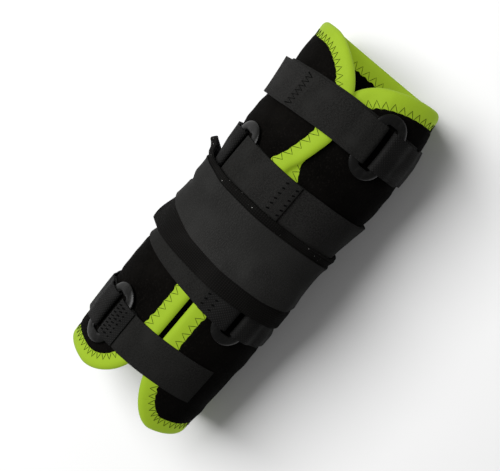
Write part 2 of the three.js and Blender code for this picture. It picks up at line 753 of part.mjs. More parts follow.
// Height of the pad's underside, with what its loose end stands off
function padUnderside(x, around) {
  const { padLow, bandLow, bandHigh, padHigh } = elbowEdges(around);
  const loose = padEndShare(around) ** 2;
  const upper = PAD_UPPER_CURL * smoothstep(x, (bandHigh + bandLow) / 2, padHigh + PAD_END_FLARE / 2);
  const lower = PAD_LOWER_CURL * (1 - smoothstep(x, padLow - PAD_END_FLARE / 2, (bandHigh + bandLow) / 2));
  return padFloor(x, around) + loose * (upper + lower);
}

// Places round the tube that the pad and the band share, so that the band lies evenly on the pad
const elbowStops = stretch(
  -aroundAt(PAD_LEFT_ANGLE),
  aroundAt(BAND_RIGHT_ANGLE),
  stepsFor(aroundAt(PAD_LEFT_ANGLE + BAND_RIGHT_ANGLE), ELBOW_STEP),
);

// Wide pad, with rounded corners at its loose end
function pad() {
  const from = -aroundAt(PAD_LEFT_ANGLE);
  const stops = [...elbowStops, aroundAt(BAND_RIGHT_ANGLE), aroundAt(PAD_RIGHT_ANGLE)];
  const rowsOf = (lift) =>
    stops.map((around) => {
      const { padLow, bandLow, bandHigh, padHigh } = elbowEdges(around);
      const nearEnd = 1 - smoothstep(around, from, from + PAD_CORNER);
      const columns = [
        { x: padLow, back: 1 },
        { x: lerp(padLow, bandLow, PAD_BORDER_STOP), back: PAD_BORDER_DRAW },
        ...BAND_STOPS.map((share) => ({ x: lerp(bandLow, bandHigh, share), back: 0 })),
        { x: lerp(padHigh, bandHigh, PAD_BORDER_STOP), back: PAD_BORDER_DRAW },
        { x: padHigh, back: 1 },
      ];
      return columns.map(({ x, back }) => {
        const place = around + back * nearEnd * PAD_CORNER_DRAW;
        return overSlit(x, place, padUnderside(x, place) + lift);
      });
    });
  return facingOut(slab(rowsOf(0), rowsOf(PAD_THICKNESS)));
}

// Elastic band stretched over the pad
function elbowBand() {
  const padEnd = -aroundAt(PAD_LEFT_ANGLE);
  const past = stretch(-aroundAt(BAND_LEFT_ANGLE), padEnd, stepsFor(aroundAt(BAND_LEFT_ANGLE - PAD_LEFT_ANGLE)));
  const stops = [...past, ...elbowStops, aroundAt(BAND_RIGHT_ANGLE)];
  const rowsOf = (lift) =>
    stops.map((around) => {
      const { bandLow, bandHigh } = elbowEdges(around);
      const onPad = smoothstep(around, padEnd - PAD_RAMP - STEP, padEnd);
      return BAND_STOPS.map((share) => {
        const x = lerp(bandLow, bandHigh, share);
        const padTop = padUnderside(x, around) + PAD_THICKNESS + LAYER_GAP;
        return overSlit(x, around, lerp(LAYER_GAP, padTop, onPad) + lift);
      });
    });
  return facingOut(slab(rowsOf(0), rowsOf(BAND_THICKNESS)));
}

const finish = {
  cloth: new THREE.MeshStandardMaterial({ color: COLOURS.cloth, roughness: 0.95, metalness: 0 }),
  lime: new THREE.MeshStandardMaterial({ color: COLOURS.lime, roughness: 0.8, metalness: 0 }),
  strap: new THREE.MeshStandardMaterial({ color: COLOURS.strap, roughness: 0.85, metalness: 0 }),
  plastic: new THREE.MeshStandardMaterial({ color: COLOURS.plastic, roughness: 0.4, metalness: 0 }),
};

const brace = new THREE.Group();
brace.name = "elbow_brace";

function addPiece(name, geometry, material) {
  const mesh = new THREE.Mesh(geometry, material);
  mesh.name = name;
  brace.add(mesh);
}

addPiece("sleeve_wrap", facingOut(sleeve()), finish.cloth);
addPiece("edge_binding", facingOut(binding()), finish.lime);
for (const strap of STRAPS) {
  const { name, looped } = strap;
  addPiece(looped ? `${name}_strap_loop` : `${name}_strap`, throughRing(strap), looped ? finish.cloth : finish.strap);
  addPiece(looped ? `${name}_strap` : `${name}_hook_tab`, freeEnd(strap), finish.strap);
  addPiece(`${name}_ring`, ring(strap), finish.plastic);
  addPiece(`${name}_ring_loop`, ringLoop(strap), finish.cloth);
}
addPiece("elbow_pad", pad(), finish.cloth);
addPiece("elbow_band", elbowBand(), finish.strap);

export default brace;
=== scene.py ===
import math

import bpy
import numpy as np
from bpy.props import FloatProperty, FloatVectorProperty, IntProperty, PointerProperty
from mathutils import Matrix, Vector


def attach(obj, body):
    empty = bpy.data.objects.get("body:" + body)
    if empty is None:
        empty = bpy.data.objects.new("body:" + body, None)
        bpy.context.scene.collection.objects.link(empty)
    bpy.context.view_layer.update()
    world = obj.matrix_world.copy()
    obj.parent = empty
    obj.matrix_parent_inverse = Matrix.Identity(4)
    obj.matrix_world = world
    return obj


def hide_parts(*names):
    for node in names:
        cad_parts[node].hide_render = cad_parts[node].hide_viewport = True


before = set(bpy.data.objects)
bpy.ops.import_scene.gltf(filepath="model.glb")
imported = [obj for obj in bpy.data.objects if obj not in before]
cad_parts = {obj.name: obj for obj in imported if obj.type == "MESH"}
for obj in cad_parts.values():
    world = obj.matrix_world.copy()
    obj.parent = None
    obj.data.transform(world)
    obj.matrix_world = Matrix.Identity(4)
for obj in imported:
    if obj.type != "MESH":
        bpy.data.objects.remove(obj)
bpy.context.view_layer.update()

bl_info = {
    "name": "Elbow brace",
    "version": (1, 0, 0),
    "blender": (4, 5, 0),
    "location": "View3D > Sidebar > Elbow brace",
    "description": "Cloth, webbing, rings and stitching of a wrap-round elbow brace",
    "category": "Object",
}

# Tube of the sleeve, as its outer face. X runs along it, the slit faces +Z. Metres.
TUBE_RADIUS = 0.054
REST_HALF_WIDTH = 0.01296
REST_CORNER_RADIUS = 0.0378
UPPER_REACH = 0.145
LOWER_REACH = 0.1375
LOWER_SLANT = 0.003
END_NARROWING = 0.0031
END_LENGTH = 0.05
UPPER_END_SWAY = 0.0035
SLEEVE_WALL = 0.005
SWELL_RAMP = 0.008
SWELL_BACK_RAMP = 0.03

# Binding, and how the flaps lie where they cross
BINDING_WIDTH = 0.0123
BINDING_CLOTH = 0.0009
BINDING_ROUND = 0.0042
BINDING_FLOOR_GAP = 0.0001
STITCH_DRAW = 0.00012
STITCH_PAST_EDGE = 0.0006
SHEET_IN_BINDING = 0.55 * BINDING_WIDTH
SHEET_THINS = (0.8 * BINDING_WIDTH, 1.06 * BINDING_WIDTH)
SHEET_BLEND = 0.35
SHEET_DIP = 0.0014
SHEET_EDGE_WALL = 0.0022
FLAP_LIFT = 0.0028
FLAP_PULL = 0.1
LEFT_LIFT = (-0.046, -0.022)
RIGHT_SINK = (0.001, 0.016)

# Straps and rings
STRAP_WIDTH = 0.028
STRAP_THICKNESS = 0.0012
CLOTH_EDGE = 0.0003
LAYER_GAP = 0.0004
LAP_LENGTH = 0.008
STITCH_MARGIN = 0.002
STITCH_LIFT = 0.00015
SLOPE_STEP = 0.001
WAVES_A_METRE = 95
CURLED_SHARE = 0.3
RING_SLOT = (0.032, 0.0104)
RING_FRAME = 0.0072
RING_THICKNESS = 0.0026
RING_DOME = 0.0031
RING_RIM_WALL = 0.4
RING_ROUND = 0.00045
SLOT_CORNER = 0.0025
RING_LOOP_LEG = 0.018
STEP_DOWN = 0.011
SEWN_END_ANGLE = 119

# Waist of the sleeve: place along it, how far its left and its right side are drawn in
WAIST = np.array([
    [-0.045, 0, 0.0005],
    [-0.031, 0.0028, 0.0062],
    [0.003, 0.0024, 0.0076],
    [0.0075, 0.006, 0.0078],
    [0.012, 0.0082, 0.0078],
    [0.022, 0.0098, 0.0066],
    [0.031, 0.0074, 0.0052],
    [0.045, 0.0022, 0.003],
    [0.062, 0, 0.0004],
    [0.105, 0, 0.0008],
    [0.145, 0, 0.0045],
])
# Degrees round the tube over which the waist starts and ends
WAIST_FROM = (52, 84)
WAIST_TO = (108, 155)

# Elbow pad and band
PAD_UPPER_EDGE = 0.0265
PAD_LOWER_EDGE = 0.0326
PAD_THICKNESS = 0.0034
PAD_ANGLES = (-93, 118)
PAD_RAMP = 0.014
PAD_MARGIN = 0.003
PAD_EDGE_RISE = 0.004
PAD_CORNER = 0.016
PAD_CORNER_DRAW = 0.0096
PAD_LOOSE_FROM = 50
PAD_UPPER_CURL = 0.0102
PAD_HORN_THICKNESS = 0.0052
PAD_HORN_ACROSS = (0.8, 0.94)
PAD_HORN_ALONG = (0.02, 0.16)
PAD_ROUND = 0.0015
PAD_LOWER_CURL = 0.006
BAND_WIDTH = 0.04
BAND_THICKNESS = 0.0013
BAND_RUN_UP = 0.0222
BAND_ANGLES = (-122, 113)

# Slit: share of the reach to a rim, left and right flap edge in binding widths, share of the lift
SLIT = np.array([
    [-1.0, -0.72, 0.25, 0],
    [-0.8, -0.6, 0.13, 0],
    [-0.58, -0.39, -0.08, 0],
    [-0.33, -0.39, -0.08, 0],
    [-0.1, -0.45, -0.12, 0],
    [0.17, -0.69, -0.36, 1],
    [0.38, -0.78, -1.08, 1],
    [0.46, -0.46, -1.46, 1],
    [0.54, -0.2, -1.42, 1],
    [0.62, -0.02, -1.34, 1],
    [0.76, -0.38, -1.0, 1],
    [1.0, -0.38, -0.97, 1],
])

# Rounded corners of the sleeve: share of the tube radius round the tube, share of the reach along it
CORNERS = {
    "upper_left": (0.97, 0.255),
    "upper_right": (1.11, 0.241),
    "lower_left": (0.68, 0.233),
    "lower_right": (0.66, 0.378),
}

# Straps from the upper end down. Side 1 has its ring right of the slit. Angles are degrees round the tube.
# A looped strap has a webbing loop sewn closed round its ring, and the others run through the ring and back.
STRAPS = {
    "upper_arm": {
        "side": 1, "ring": 27, "lap": -34, "end": -92, "curl": 0.0035, "looped": False, "under_shift": 0.0015,
        "course": [(-120, 0.655), (-62, 0.676), (-30, 0.699), (0, 0.716), (27, 0.718), (120, 0.71)],
    },
    "above_elbow": {
        "side": -1, "ring": -51, "lap": -3, "end": 112, "curl": 0, "looped": False,
        "course": [(-120, 0.29), (-51, 0.292), (-20, 0.283), (0, 0.281), (25, 0.284), (120, 0.284)],
    },
    "below_elbow": {
        "side": 1, "ring": 30, "lap": 11, "end": -112, "curl": 0, "looped": True,
        "course": [(-120, -0.2), (-58, -0.214), (-28, -0.229), (0, -0.249), (30, -0.267), (120, -0.283)],
    },
    "forearm": {
        "side": -1, "ring": -44, "lap": -34, "end": 46, "curl": 0, "looped": True,
        "course": [(-120, -0.684), (-44, -0.684), (-15, -0.691), (15, -0.684), (44, -0.687), (120, -0.69)],
    },
}

# Stitching of each lap, in rows: angles where its stitches start and end, their number, and if they are bars
LAP_STITCHES = {
    "upper_arm": [(-41, -35.5, 7, False)],
    "above_elbow": [(-4.6, -3, 6, True), (2.8, 4.4, 6, True)],
    "below_elbow": [(2.4, 4, 6, True), (8.6, 10.2, 6, True)],
    "forearm": [
        (-42, -40, 8, True), (-38.4, -36.4, 8, True), (-34.8, -32.8, 8, True), (-30.6, -29.8, 7, True),
    ],
}

# Middle line and width of the elastic band: angle, place in pad half widths, share of the full width
BAND_COURSE = np.array([
    [-122, 0.4, 0.9],
    [-75, 0.41, 0.93],
    [-62, 0.37, 0.95],
    [-47, 0.3, 0.97],
    [-27, 0.19, 1],
    [0, 0.145, 1],
    [27, 0.14, 1],
    [46, 0.165, 0.95],
    [60, 0.21, 0.86],
    [113, 0.23, 0.84],
])

# Upper edge of the pad: angle, place along the tube. Its loose left end runs out in a horn.
PAD_UPPER_COURSE = np.array([
    [-93, 0.0366],
    [-85, 0.0366],
    [-77, 0.0347],
    [-69, 0.0318],
    [-63, 0.0304],
    [-56, 0.0297],
    [-45, 0.0288],
    [-30, 0.028],
    [0, 0.0275],
    [118, 0.027],
])

# Section of the tube: a round back to the main arc, two wider corners and a flat that it rests on
ARC_ANGLE = math.pi - math.asin(REST_HALF_WIDTH / (TUBE_RADIUS - REST_CORNER_RADIUS))
CORNER_CENTRE_UP = (TUBE_RADIUS - REST_CORNER_RADIUS) * math.cos(ARC_ANGLE)
AXIS_HEIGHT = REST_CORNER_RADIUS - CORNER_CENTRE_UP
ARC_LENGTH = TUBE_RADIUS * ARC_ANGLE
HALF_GIRTH = ARC_LENGTH + REST_CORNER_RADIUS * (math.pi - ARC_ANGLE) + REST_HALF_WIDTH
GIRTH = 2 * HALF_GIRTH

# Heights of the layers off the sleeve
FIRST_LAYER = LAYER_GAP + STRAP_THICKNESS / 2
SECOND_LAYER = FIRST_LAYER + LAYER_GAP + STRAP_THICKNESS
THIRD_LAYER = SECOND_LAYER + LAYER_GAP + STRAP_THICKNESS
RING_UNDERSIDE = FIRST_LAYER + STRAP_THICKNESS / 2 + LAYER_GAP
BAR_MIDDLE = RING_UNDERSIDE + RING_THICKNESS / 2
OVER_BAR = RING_UNDERSIDE + RING_THICKNESS + LAYER_GAP + STRAP_THICKNESS / 2
RING_LENGTH = RING_SLOT[0] + 2 * RING_FRAME
RING_WIDTH = RING_SLOT[1] + 2 * RING_FRAME

# Camera as the photograph was taken
CAMERA_TILT = math.radians(9.5)
CAMERA_DISTANCE = 0.78
CAMERA_LENS = 81.4
CAMERA_SIDE = 0.001
IMAGE_TURN = (0.6451, 0.7641)


def around_at(angle):
    """Arc length round the tube at an angle in degrees from the slit."""
    return TUBE_RADIUS * math.radians(angle)


def smoothstep(value, low, high):
    """Soft ramp from 0 at low to 1 at high."""
    t = np.clip((value - low) / (high - low), 0, 1)
    return t * t * (3 - 2 * t)


def follow(knots, values, at):
    """Smooth line through the knots, without overshoot."""
    knots = np.asarray(knots, float)
    values = np.asarray(values, float)
    spans = np.diff(knots)
    slopes = np.diff(values) / spans
    before, after = slopes[:-1], slopes[1:]
    together = np.where(before * after > 0, before + after, 1)
    tangents = np.zeros(len(knots))
    tangents[1:-1] = np.where(before * after > 0, 2 * before * after / together, 0)
    at = np.clip(at, knots[0], knots[-1])
    i = np.clip(np.searchsorted(knots, at, side="right") - 1, 0, len(spans) - 1)
    t = (at - knots[i]) / spans[i]
    start = values[i] * (1 + 2 * t) * (1 - t) ** 2
    finish = values[i + 1] * t * t * (3 - 2 * t)
    bend = tangents[i] * t * (1 - t) ** 2 - tangents[i + 1] * t * t * (1 - t)
    return start + finish + spans[i] * bend


def reach_of(x):
    """Reach of the sleeve to the rim on that side of the elbow."""
    return np.where(x < 0, LOWER_REACH, UPPER_REACH)


def left_edge(x):
    return BINDING_WIDTH * follow(SLIT[:, 0], SLIT[:, 1], x / reach_of(x))


def right_edge(x):
    return BINDING_WIDTH * follow(SLIT[:, 0], SLIT[:, 2], x / reach_of(x))


def lift_at(x):
    return FLAP_LIFT * follow(SLIT[:, 0], SLIT[:, 3], x / reach_of(x))


def hill(value, low, high, ramp):
    """Soft hill of height 1 from low to high, with ramps outside it."""
    return smoothstep(value, low - ramp, low) * (1 - smoothstep(value, high, high + ramp))


def waist(x, turn):
    """How far the sleeve is drawn in at a place on it."""
    s = np.abs(turn)
    sides = smoothstep(s, *map(around_at, WAIST_FROM)) * (1 - smoothstep(s, *map(around_at, WAIST_TO)))
    left, right = (follow(WAIST[:, 0], WAIST[:, column], x) for column in (1, 2))
    return np.where(turn < 0, left, right) * sides


def on_tube(x, around, out):
    """Point at x, at arc length around from the slit's centre line, out off the tube's outer face."""
    turn = around - GIRTH * np.round(around / GIRTH)
    side = np.where(turn < 0, -1, 1)
    s = np.abs(turn)
    out = out - waist(x, turn)
    main = s / TUBE_RADIUS
    corner = ARC_ANGLE + (s - ARC_LENGTH) / REST_CORNER_RADIUS
    parts = [s <= ARC_LENGTH, s <= HALF_GIRTH - REST_HALF_WIDTH]
    across = np.select(
        parts,
        [(TUBE_RADIUS + out) * np.sin(main), REST_HALF_WIDTH + (REST_CORNER_RADIUS + out) * np.sin(corner)],
        HALF_GIRTH - s,
    )
    up = np.select(
        parts,
        [(TUBE_RADIUS + out) * np.cos(main), CORNER_CENTRE_UP + (REST_CORNER_RADIUS + out) * np.cos(corner)],
        -AXIS_HEIGHT - out,
    )
    start = reach_of(x) - END_LENGTH
    inward = smoothstep(np.abs(x), start, start + 1.4 * END_LENGTH)
    size = 1 - (END_NARROWING / TUBE_RADIUS) * inward
    sway = np.where(x > 0, UPPER_END_SWAY * inward, 0)
    return np.stack(np.broadcast_arrays(x, sway - side * across * size, (up + AXIS_HEIGHT) * size), axis=-1)


def above_floor(points, clearance):
    """The points, with none lower than this over the floor."""
    points[..., 2] = np.maximum(points[..., 2], clearance)
    return points


def left_rise(x, around):
    return lift_at(x) * smoothstep(around, *LEFT_LIFT)


def over_slit(x, around, out):
    """Point off the sleeve for what crosses the slit, on the left flap and bridged down to the right one."""
    edge = left_edge(x)
    bridged = lift_at(x) * (1 - smoothstep(around, edge, RIGHT_SINK[1]))
    return on_tube(x, around, out + np.where(around < edge, left_rise(x, around), bridged))


def on_sheet(x, w, out):
    """Point of the wrapped sheet: x and w are its place laid flat, and out is off its outer face."""
    near_right = 1 - smoothstep(w, 0, FLAP_PULL)
    near_left = smoothstep(w, GIRTH - FLAP_PULL, GIRTH)
    around = w + right_edge(x) * near_right + left_edge(x) * near_left
    rise = left_rise(x, around - GIRTH)
    sink = lift_at(x) * (1 - smoothstep(around, *RIGHT_SINK))
    slant = np.where(x < 0, LOWER_SLANT / LOWER_REACH * np.cos(math.pi * w / GIRTH), 0)
    return on_tube(x * (1 + slant), around, out + rise - sink)


def resampled(line, count):
    """The line's points at equal spacing, with the last left out."""
    steps = np.linalg.norm(np.diff(line[:, :2], axis=0), axis=1)
    length = np.concatenate([[0], np.cumsum(steps)])
    at = np.linspace(0, length[-1], count, endpoint=False)
    return np.stack([np.interp(at, length, column) for column in line.T], axis=1)


def sheet_sides(rows, columns):
    """Right, top, left and bottom side of the flat sheet, in rows of x, w and the inward direction."""
    places = {
        "lower_right": (-LOWER_REACH, 0, 1, 1, LOWER_REACH),
        "upper_right": (UPPER_REACH, 0, -1, 1, UPPER_REACH),
        "upper_left": (UPPER_REACH, GIRTH, -1, -1, UPPER_REACH),
        "lower_left": (-LOWER_REACH, GIRTH, 1, -1, LOWER_REACH),
    }

    def arc(name, first, last):
        x, w, x_way, w_way, reach = places[name]
        across, along = CORNERS[name][0] * TUBE_RADIUS, CORNERS[name][1] * reach
        turn = np.radians(np.linspace(first, last, 33))
        inward = np.stack([x_way * np.sin(turn) * across, w_way * np.cos(turn) * along], axis=1)
        inward /= np.linalg.norm(inward, axis=1)[:, None]
        spots = [x + x_way * along * (1 - np.sin(turn)), w + w_way * across * (1 - np.cos(turn))]
        return np.column_stack([*spots, inward])

    def side(first, second, near, far, count):
        return resampled(np.concatenate([arc(first, *near), arc(second, *far)]), count)

    return [
        side("lower_right", "upper_right", (45, 0), (0, 45), rows),
        side("upper_right", "upper_left", (45, 90), (90, 45), columns),
        side("upper_left", "lower_left", (45, 0), (0, 45), rows),
        side("lower_left", "lower_right", (45, 90), (90, 45), columns),
    ]


def deselect():
    if bpy.context.object and bpy.context.object.mode != "OBJECT":
        bpy.ops.object.mode_set(mode="OBJECT")
    bpy.ops.object.select_all(action="DESELECT")


def activate(piece):
    deselect()
    piece.select_set(True)
    bpy.context.view_layer.objects.active = piece


def flat_cloth(name, rows, columns, width, length):
    """Flat grid of cloth at the origin, one metre a side, with its UV map in metres of the real cloth."""
    deselect()
    bpy.ops.mesh.primitive_grid_add(x_subdivisions=columns, y_subdivisions=rows, size=1, location=(0, 0, 0))
    piece = bpy.context.object
    piece.name = piece.data.name = name
    uv = piece.data.uv_layers[0]
    uv.name = "cloth"
    shares = np.empty(len(uv.data) * 2)
    uv.data.foreach_get("uv", shares)
    uv.data.foreach_set("uv", (shares.reshape(-1, 2) * (width, length)).ravel())
    return piece


def lay(piece, place):
    """Moves each vertex of a flat piece to its place, a function of the shares across and along."""
    mesh = piece.data
    flat = np.empty(len(mesh.vertices) * 3)
    mesh.vertices.foreach_get("co", flat)
    flat = flat.reshape(-1, 3)
    laid = place(flat[:, 0] + 0.5, flat[:, 1] + 0.5)
    mesh.vertices.foreach_set("co", np.ascontiguousarray(laid).ravel())
    mesh.update()


def face_outwards(piece):
    """Turns the faces of an open sheet so that they look away from the tube's axis."""
    mesh = piece.data
    centres = np.empty(len(mesh.polygons) * 3)
    normals = np.empty(len(mesh.polygons) * 3)
    mesh.polygons.foreach_get("center", centres)
    mesh.polygons.foreach_get("normal", normals)
    away = centres.reshape(-1, 3) - (0, 0, AXIS_HEIGHT)
    away[:, 0] = 0
    if (away * normals.reshape(-1, 3)).sum() < 0:
        activate(piece)
        bpy.ops.object.mode_set(mode="EDIT")
        bpy.ops.mesh.select_all(action="SELECT")
        bpy.ops.mesh.flip_normals()
        bpy.ops.object.mode_set(mode="OBJECT")


def apply_modifier(piece, kind, **settings):
    """Adds a modifier with these settings and applies it."""
    activate(piece)
    modifier = piece.modifiers.new(kind.lower(), kind)
    for key, value in settings.items():
        setattr(modifier, key, value)
    bpy.ops.object.modifier_apply(modifier=modifier.name)


def thicken(piece, thickness, offset=0, edge=0, edge_steps=2, **settings):
    """Gives a laid sheet its thickness, with softened edges."""
    apply_modifier(piece, "SOLIDIFY", thickness=thickness, offset=offset, **settings)
    if edge:
        apply_modifier(
            piece, "BEVEL", width=edge, segments=edge_steps, limit_method="ANGLE",
            angle_limit=math.radians(50),
        )
    smooth(piece)


def weigh_wall(piece, shares):
    """Sets each vertex's share of the wall's full thickness, for a thickness that follows the group."""
    group = piece.vertex_groups.new(name="wall")
    for index, share in enumerate(shares):
        group.add([index], float(share), "REPLACE")


def smooth(piece, angle=60):
    activate(piece)
    bpy.ops.object.shade_smooth_by_angle(angle=math.radians(angle))


def close_doubles(piece, distance=1e-5):
    activate(piece)
    bpy.ops.object.mode_set(mode="EDIT")
    bpy.ops.mesh.select_all(action="SELECT")
    bpy.ops.mesh.remove_doubles(threshold=distance)
    bpy.ops.object.mode_set(mode="OBJECT")


def hand_over(piece, material, slot, nodes=()):
    """Gives a finished piece its material and ties it to the brace."""
    piece.data.materials.clear()
    piece.data.materials.append(material)
    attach(piece, "root")
    if nodes:
        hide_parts(*nodes)


def sewing(name, lines, radius, closed=False):
    """Thread along each line of points, as one mesh."""
    curve = bpy.data.curves.new(name, "CURVE")
    curve.dimensions = "3D"
    curve.bevel_depth = radius
    curve.bevel_resolution = 1
    curve.use_fill_caps = not closed
    for points in lines:
        spline = curve.splines.new("POLY")
        spline.points.add(len(points) - 1)
        spline.points.foreach_set("co", np.column_stack([points, np.ones(len(points))]).ravel())
        spline.use_cyclic_u = closed
    piece = bpy.data.objects.new(name, curve)
    bpy.context.scene.collection.objects.link(piece)
    activate(piece)
    bpy.ops.object.convert(target="MESH")
    piece = bpy.context.object
    smooth(piece)
    return piece


class Finish:
    """A material and its nodes: add() makes a node and sets or links its inputs."""

    def __init__(self, name, roughness, specular, sheen=0.0, sheen_roughness=0.5, sheen_tint=(1, 1, 1)):
        self.material = bpy.data.materials.new(name)
        self.material.use_nodes = True
        self.tree = self.material.node_tree
        self.shader = next(n for n in self.tree.nodes if n.type == "BSDF_PRINCIPLED")
        self.shader.inputs["Roughness"].default_value = roughness
        self.shader.inputs["Specular IOR Level"].default_value = specular
        self.shader.inputs["Sheen Weight"].default_value = sheen
        self.shader.inputs["Sheen Roughness"].default_value = sheen_roughness
        self.shader.inputs["Sheen Tint"].default_value = (*sheen_tint, 1)
        self.height = None

    def add(self, kind, settings=(), **inputs):
        node = self.tree.nodes.new("ShaderNode" + kind)
        for key, value in dict(settings).items():
            setattr(node, key, value)
        for key, value in inputs.items():
            socket = node.inputs[int(key[1:]) if key[1:].isdigit() else key.replace("_", " ")]
            if isinstance(value, bpy.types.NodeSocket):
                self.tree.links.new(value, socket)
            else:
                socket.default_value = value
        return node

    def place(self, from_uv=False):
        """Where the pattern is read: the cloth's own UV in metres, or the object's coordinates."""
        if from_uv:
            return self.add("UVMap", {"uv_map": "cloth"}).outputs["UV"]
        return self.add("TexCoord").outputs["Object"]

    def noise(self, place, scale, detail=2.0, roughness=0.5, stretch=(1, 1, 1)):
        """Cloudy grain with this many grains a metre."""
        moved = self.add("Mapping", Vector=place, Scale=stretch).outputs["Vector"]
        node = self.add("TexNoise", Vector=moved, Scale=scale, Detail=detail, Roughness=roughness)
        return node.outputs["Fac"]

    def ribs(self, place, pitch, along):
        """Rounded ribs at this pitch: along 0 across the cloth, 1 down its length."""
        axis = self.add("SeparateXYZ", Vector=place).outputs[along]
        turned = self.add("Math", {"operation": "MULTIPLY"}, _0=axis, _1=2 * math.pi / pitch).outputs[0]
        wave = self.add("Math", {"operation": "SINE"}, _0=turned).outputs[0]
        return self.add("MapRange", Value=wave, From_Min=-1.0, From_Max=1.0).outputs["Result"]

    def times(self, first, second):
        return self.add("Math", {"operation": "MULTIPLY"}, _0=first, _1=second).outputs[0]

    def plus(self, first, second):
        return self.add("Math", {"operation": "ADD"}, _0=first, _1=second).outputs[0]

    def ramp(self, value, low, high, to_low=0.0, to_high=1.0):
        node = self.add("MapRange", Value=value, From_Min=low, From_Max=high, To_Min=to_low, To_Max=to_high)
        return node.outputs["Result"]

    def mix(self, share, first, second):
        """Colour between two, each a colour or a socket."""
        node = self.tree.nodes.new("ShaderNodeMix")
        node.data_type = "RGBA"
        self.tree.links.new(share, node.inputs[0])
        for socket, value in ((node.inputs[6], first), (node.inputs[7], second)):
            if isinstance(value, bpy.types.NodeSocket):
                self.tree.links.new(value, socket)
            else:
                socket.default_value = (*value[:3], 1)
        return node.outputs[2]

    def bump(self, height, depth, strength=1.0):
        """Relief of this depth in metres, over any relief already there."""
        node = self.add("Bump", Strength=strength, Distance=depth, Height=height)
        if self.height:
            self.tree.links.new(self.height, node.inputs["Normal"])
        self.height = node.outputs["Normal"]

    def done(self, colour, roughness=None):
        self.tree.links.new(colour, self.shader.inputs["Base Color"])
        if roughness:
            self.tree.links.new(roughness, self.shader.inputs["Roughness"])
        if self.height:
            self.tree.links.new(self.height, self.shader.inputs["Normal"])
        return self.material


def lighter(colour, share):
    """The colour with this share of its brightness."""
    return tuple(min(1.0, channel * share) for channel in colour[:3])


def loop_cloth(name, colour):
    """Unbroken loop cloth: matt and velvety, with crushed lighter patches."""
    finish = Finish(name, roughness=0.95, specular=0.02)
    place = finish.place()
    pile = finish.noise(place, 1400, detail=3.0, roughness=0.7)
    crush = finish.noise(place, 45, detail=4.0, roughness=0.6)
    fleck = finish.ramp(finish.noise(place, 800), 0.55, 0.75)
    shade = finish.mix(finish.ramp(crush, 0.3, 0.7), lighter(colour, 0.6), lighter(colour, 1.4))
    shade = finish.mix(finish.times(fleck, 0.6), shade, lighter(colour, 3.4))
    finish.bump(crush, 0.0008, 0.4)
    finish.bump(pile, 0.0003, 0.8)
    return finish.done(shade, finish.ramp(crush, 0.3, 0.7, 0.98, 0.88))


def strap_cloth(name, colour):
    """Brushed stretch webbing, with faint cross ribs."""
    finish = Finish(name, roughness=0.85, specular=0.04)
    place = finish.place(from_uv=True)
    fibre = finish.noise(place, 1300, detail=3.0, roughness=0.65, stretch=(1, 0.7, 1))
    rib = finish.ribs(place, 0.0009, 1)
    worn = finish.noise(finish.place(), 60, detail=4.0)
    shade = finish.mix(finish.ramp(fibre, 0.36, 0.64), lighter(colour, 0.58), lighter(colour, 1.45))
    shade = finish.mix(finish.ramp(worn, 0.5, 0.8), shade, lighter(colour, 1.3))
    finish.bump(rib, 0.00012, 0.5)
    finish.bump(fibre, 0.00025, 0.7)
    return finish.done(shade, finish.ramp(worn, 0.3, 0.7, 0.9, 0.78))


def ribbed_elastic(name, colour):
    """Wide elastic with fine ribs across its length."""
    finish = Finish(name, roughness=0.8, specular=0.05)
    place = finish.place(from_uv=True)
    rib = finish.ribs(place, 0.00125, 1)
    cross = finish.ribs(place, 0.0009, 0)
    fibre = finish.noise(place, 1300, detail=3.0, roughness=0.6)
    worn = finish.noise(finish.place(), 50, detail=4.0)
    weave = finish.plus(finish.times(rib, 0.6), finish.times(cross, 0.4))
    shade = finish.mix(finish.ramp(weave, 0.1, 0.9), lighter(colour, 0.85), lighter(colour, 1.1))
    shade = finish.mix(finish.ramp(fibre, 0.36, 0.62), lighter(colour, 0.55), shade)
    shade = finish.mix(finish.times(finish.ramp(fibre, 0.52, 0.7), 0.6), shade, lighter(colour, 1.7))
    shade = finish.mix(finish.times(finish.ramp(worn, 0.4, 0.8), 0.5), shade, lighter(colour, 1.25))
    finish.bump(weave, 0.00012, 0.6)
    finish.bump(fibre, 0.0002, 0.5)
    return finish.done(shade, finish.ramp(worn, 0.3, 0.7, 0.86, 0.74))


def knit_cloth(name, colour, lint):
    """Knitted face of the elbow pad: a fine square grid, with a few specks of lint on its upper rim."""
    finish = Finish(name, roughness=0.95, specular=0.03)
    place = finish.place(from_uv=True)
    grid = finish.times(finish.ribs(place, 0.0014, 0), finish.ribs(place, 0.0014, 1))
    fibre = finish.noise(place, 1500, detail=3.0, roughness=0.7)
    worn = finish.noise(finish.place(), 40, detail=4.0)
    shade = finish.mix(finish.ramp(grid, 0.05, 0.7), lighter(colour, 0.65), lighter(colour, 1.35))
    shade = finish.mix(finish.times(finish.ramp(worn, 0.5, 0.8), 0.5), shade, lighter(colour, 1.8))
    specks = finish.ramp(finish.noise(finish.place(), 1000, detail=0.0), 0.85, 0.86)
    on_rim = finish.ramp(finish.add("SeparateXYZ", Vector=finish.place()).outputs["X"], 0.02, 0.024)
    shade = finish.mix(finish.times(specks, on_rim), shade, lint)
    finish.bump(grid, 0.0003, 0.8)
    finish.bump(fibre, 0.0002, 0.6)
    return finish.done(shade, finish.ramp(worn, 0.3, 0.7, 0.98, 0.88))


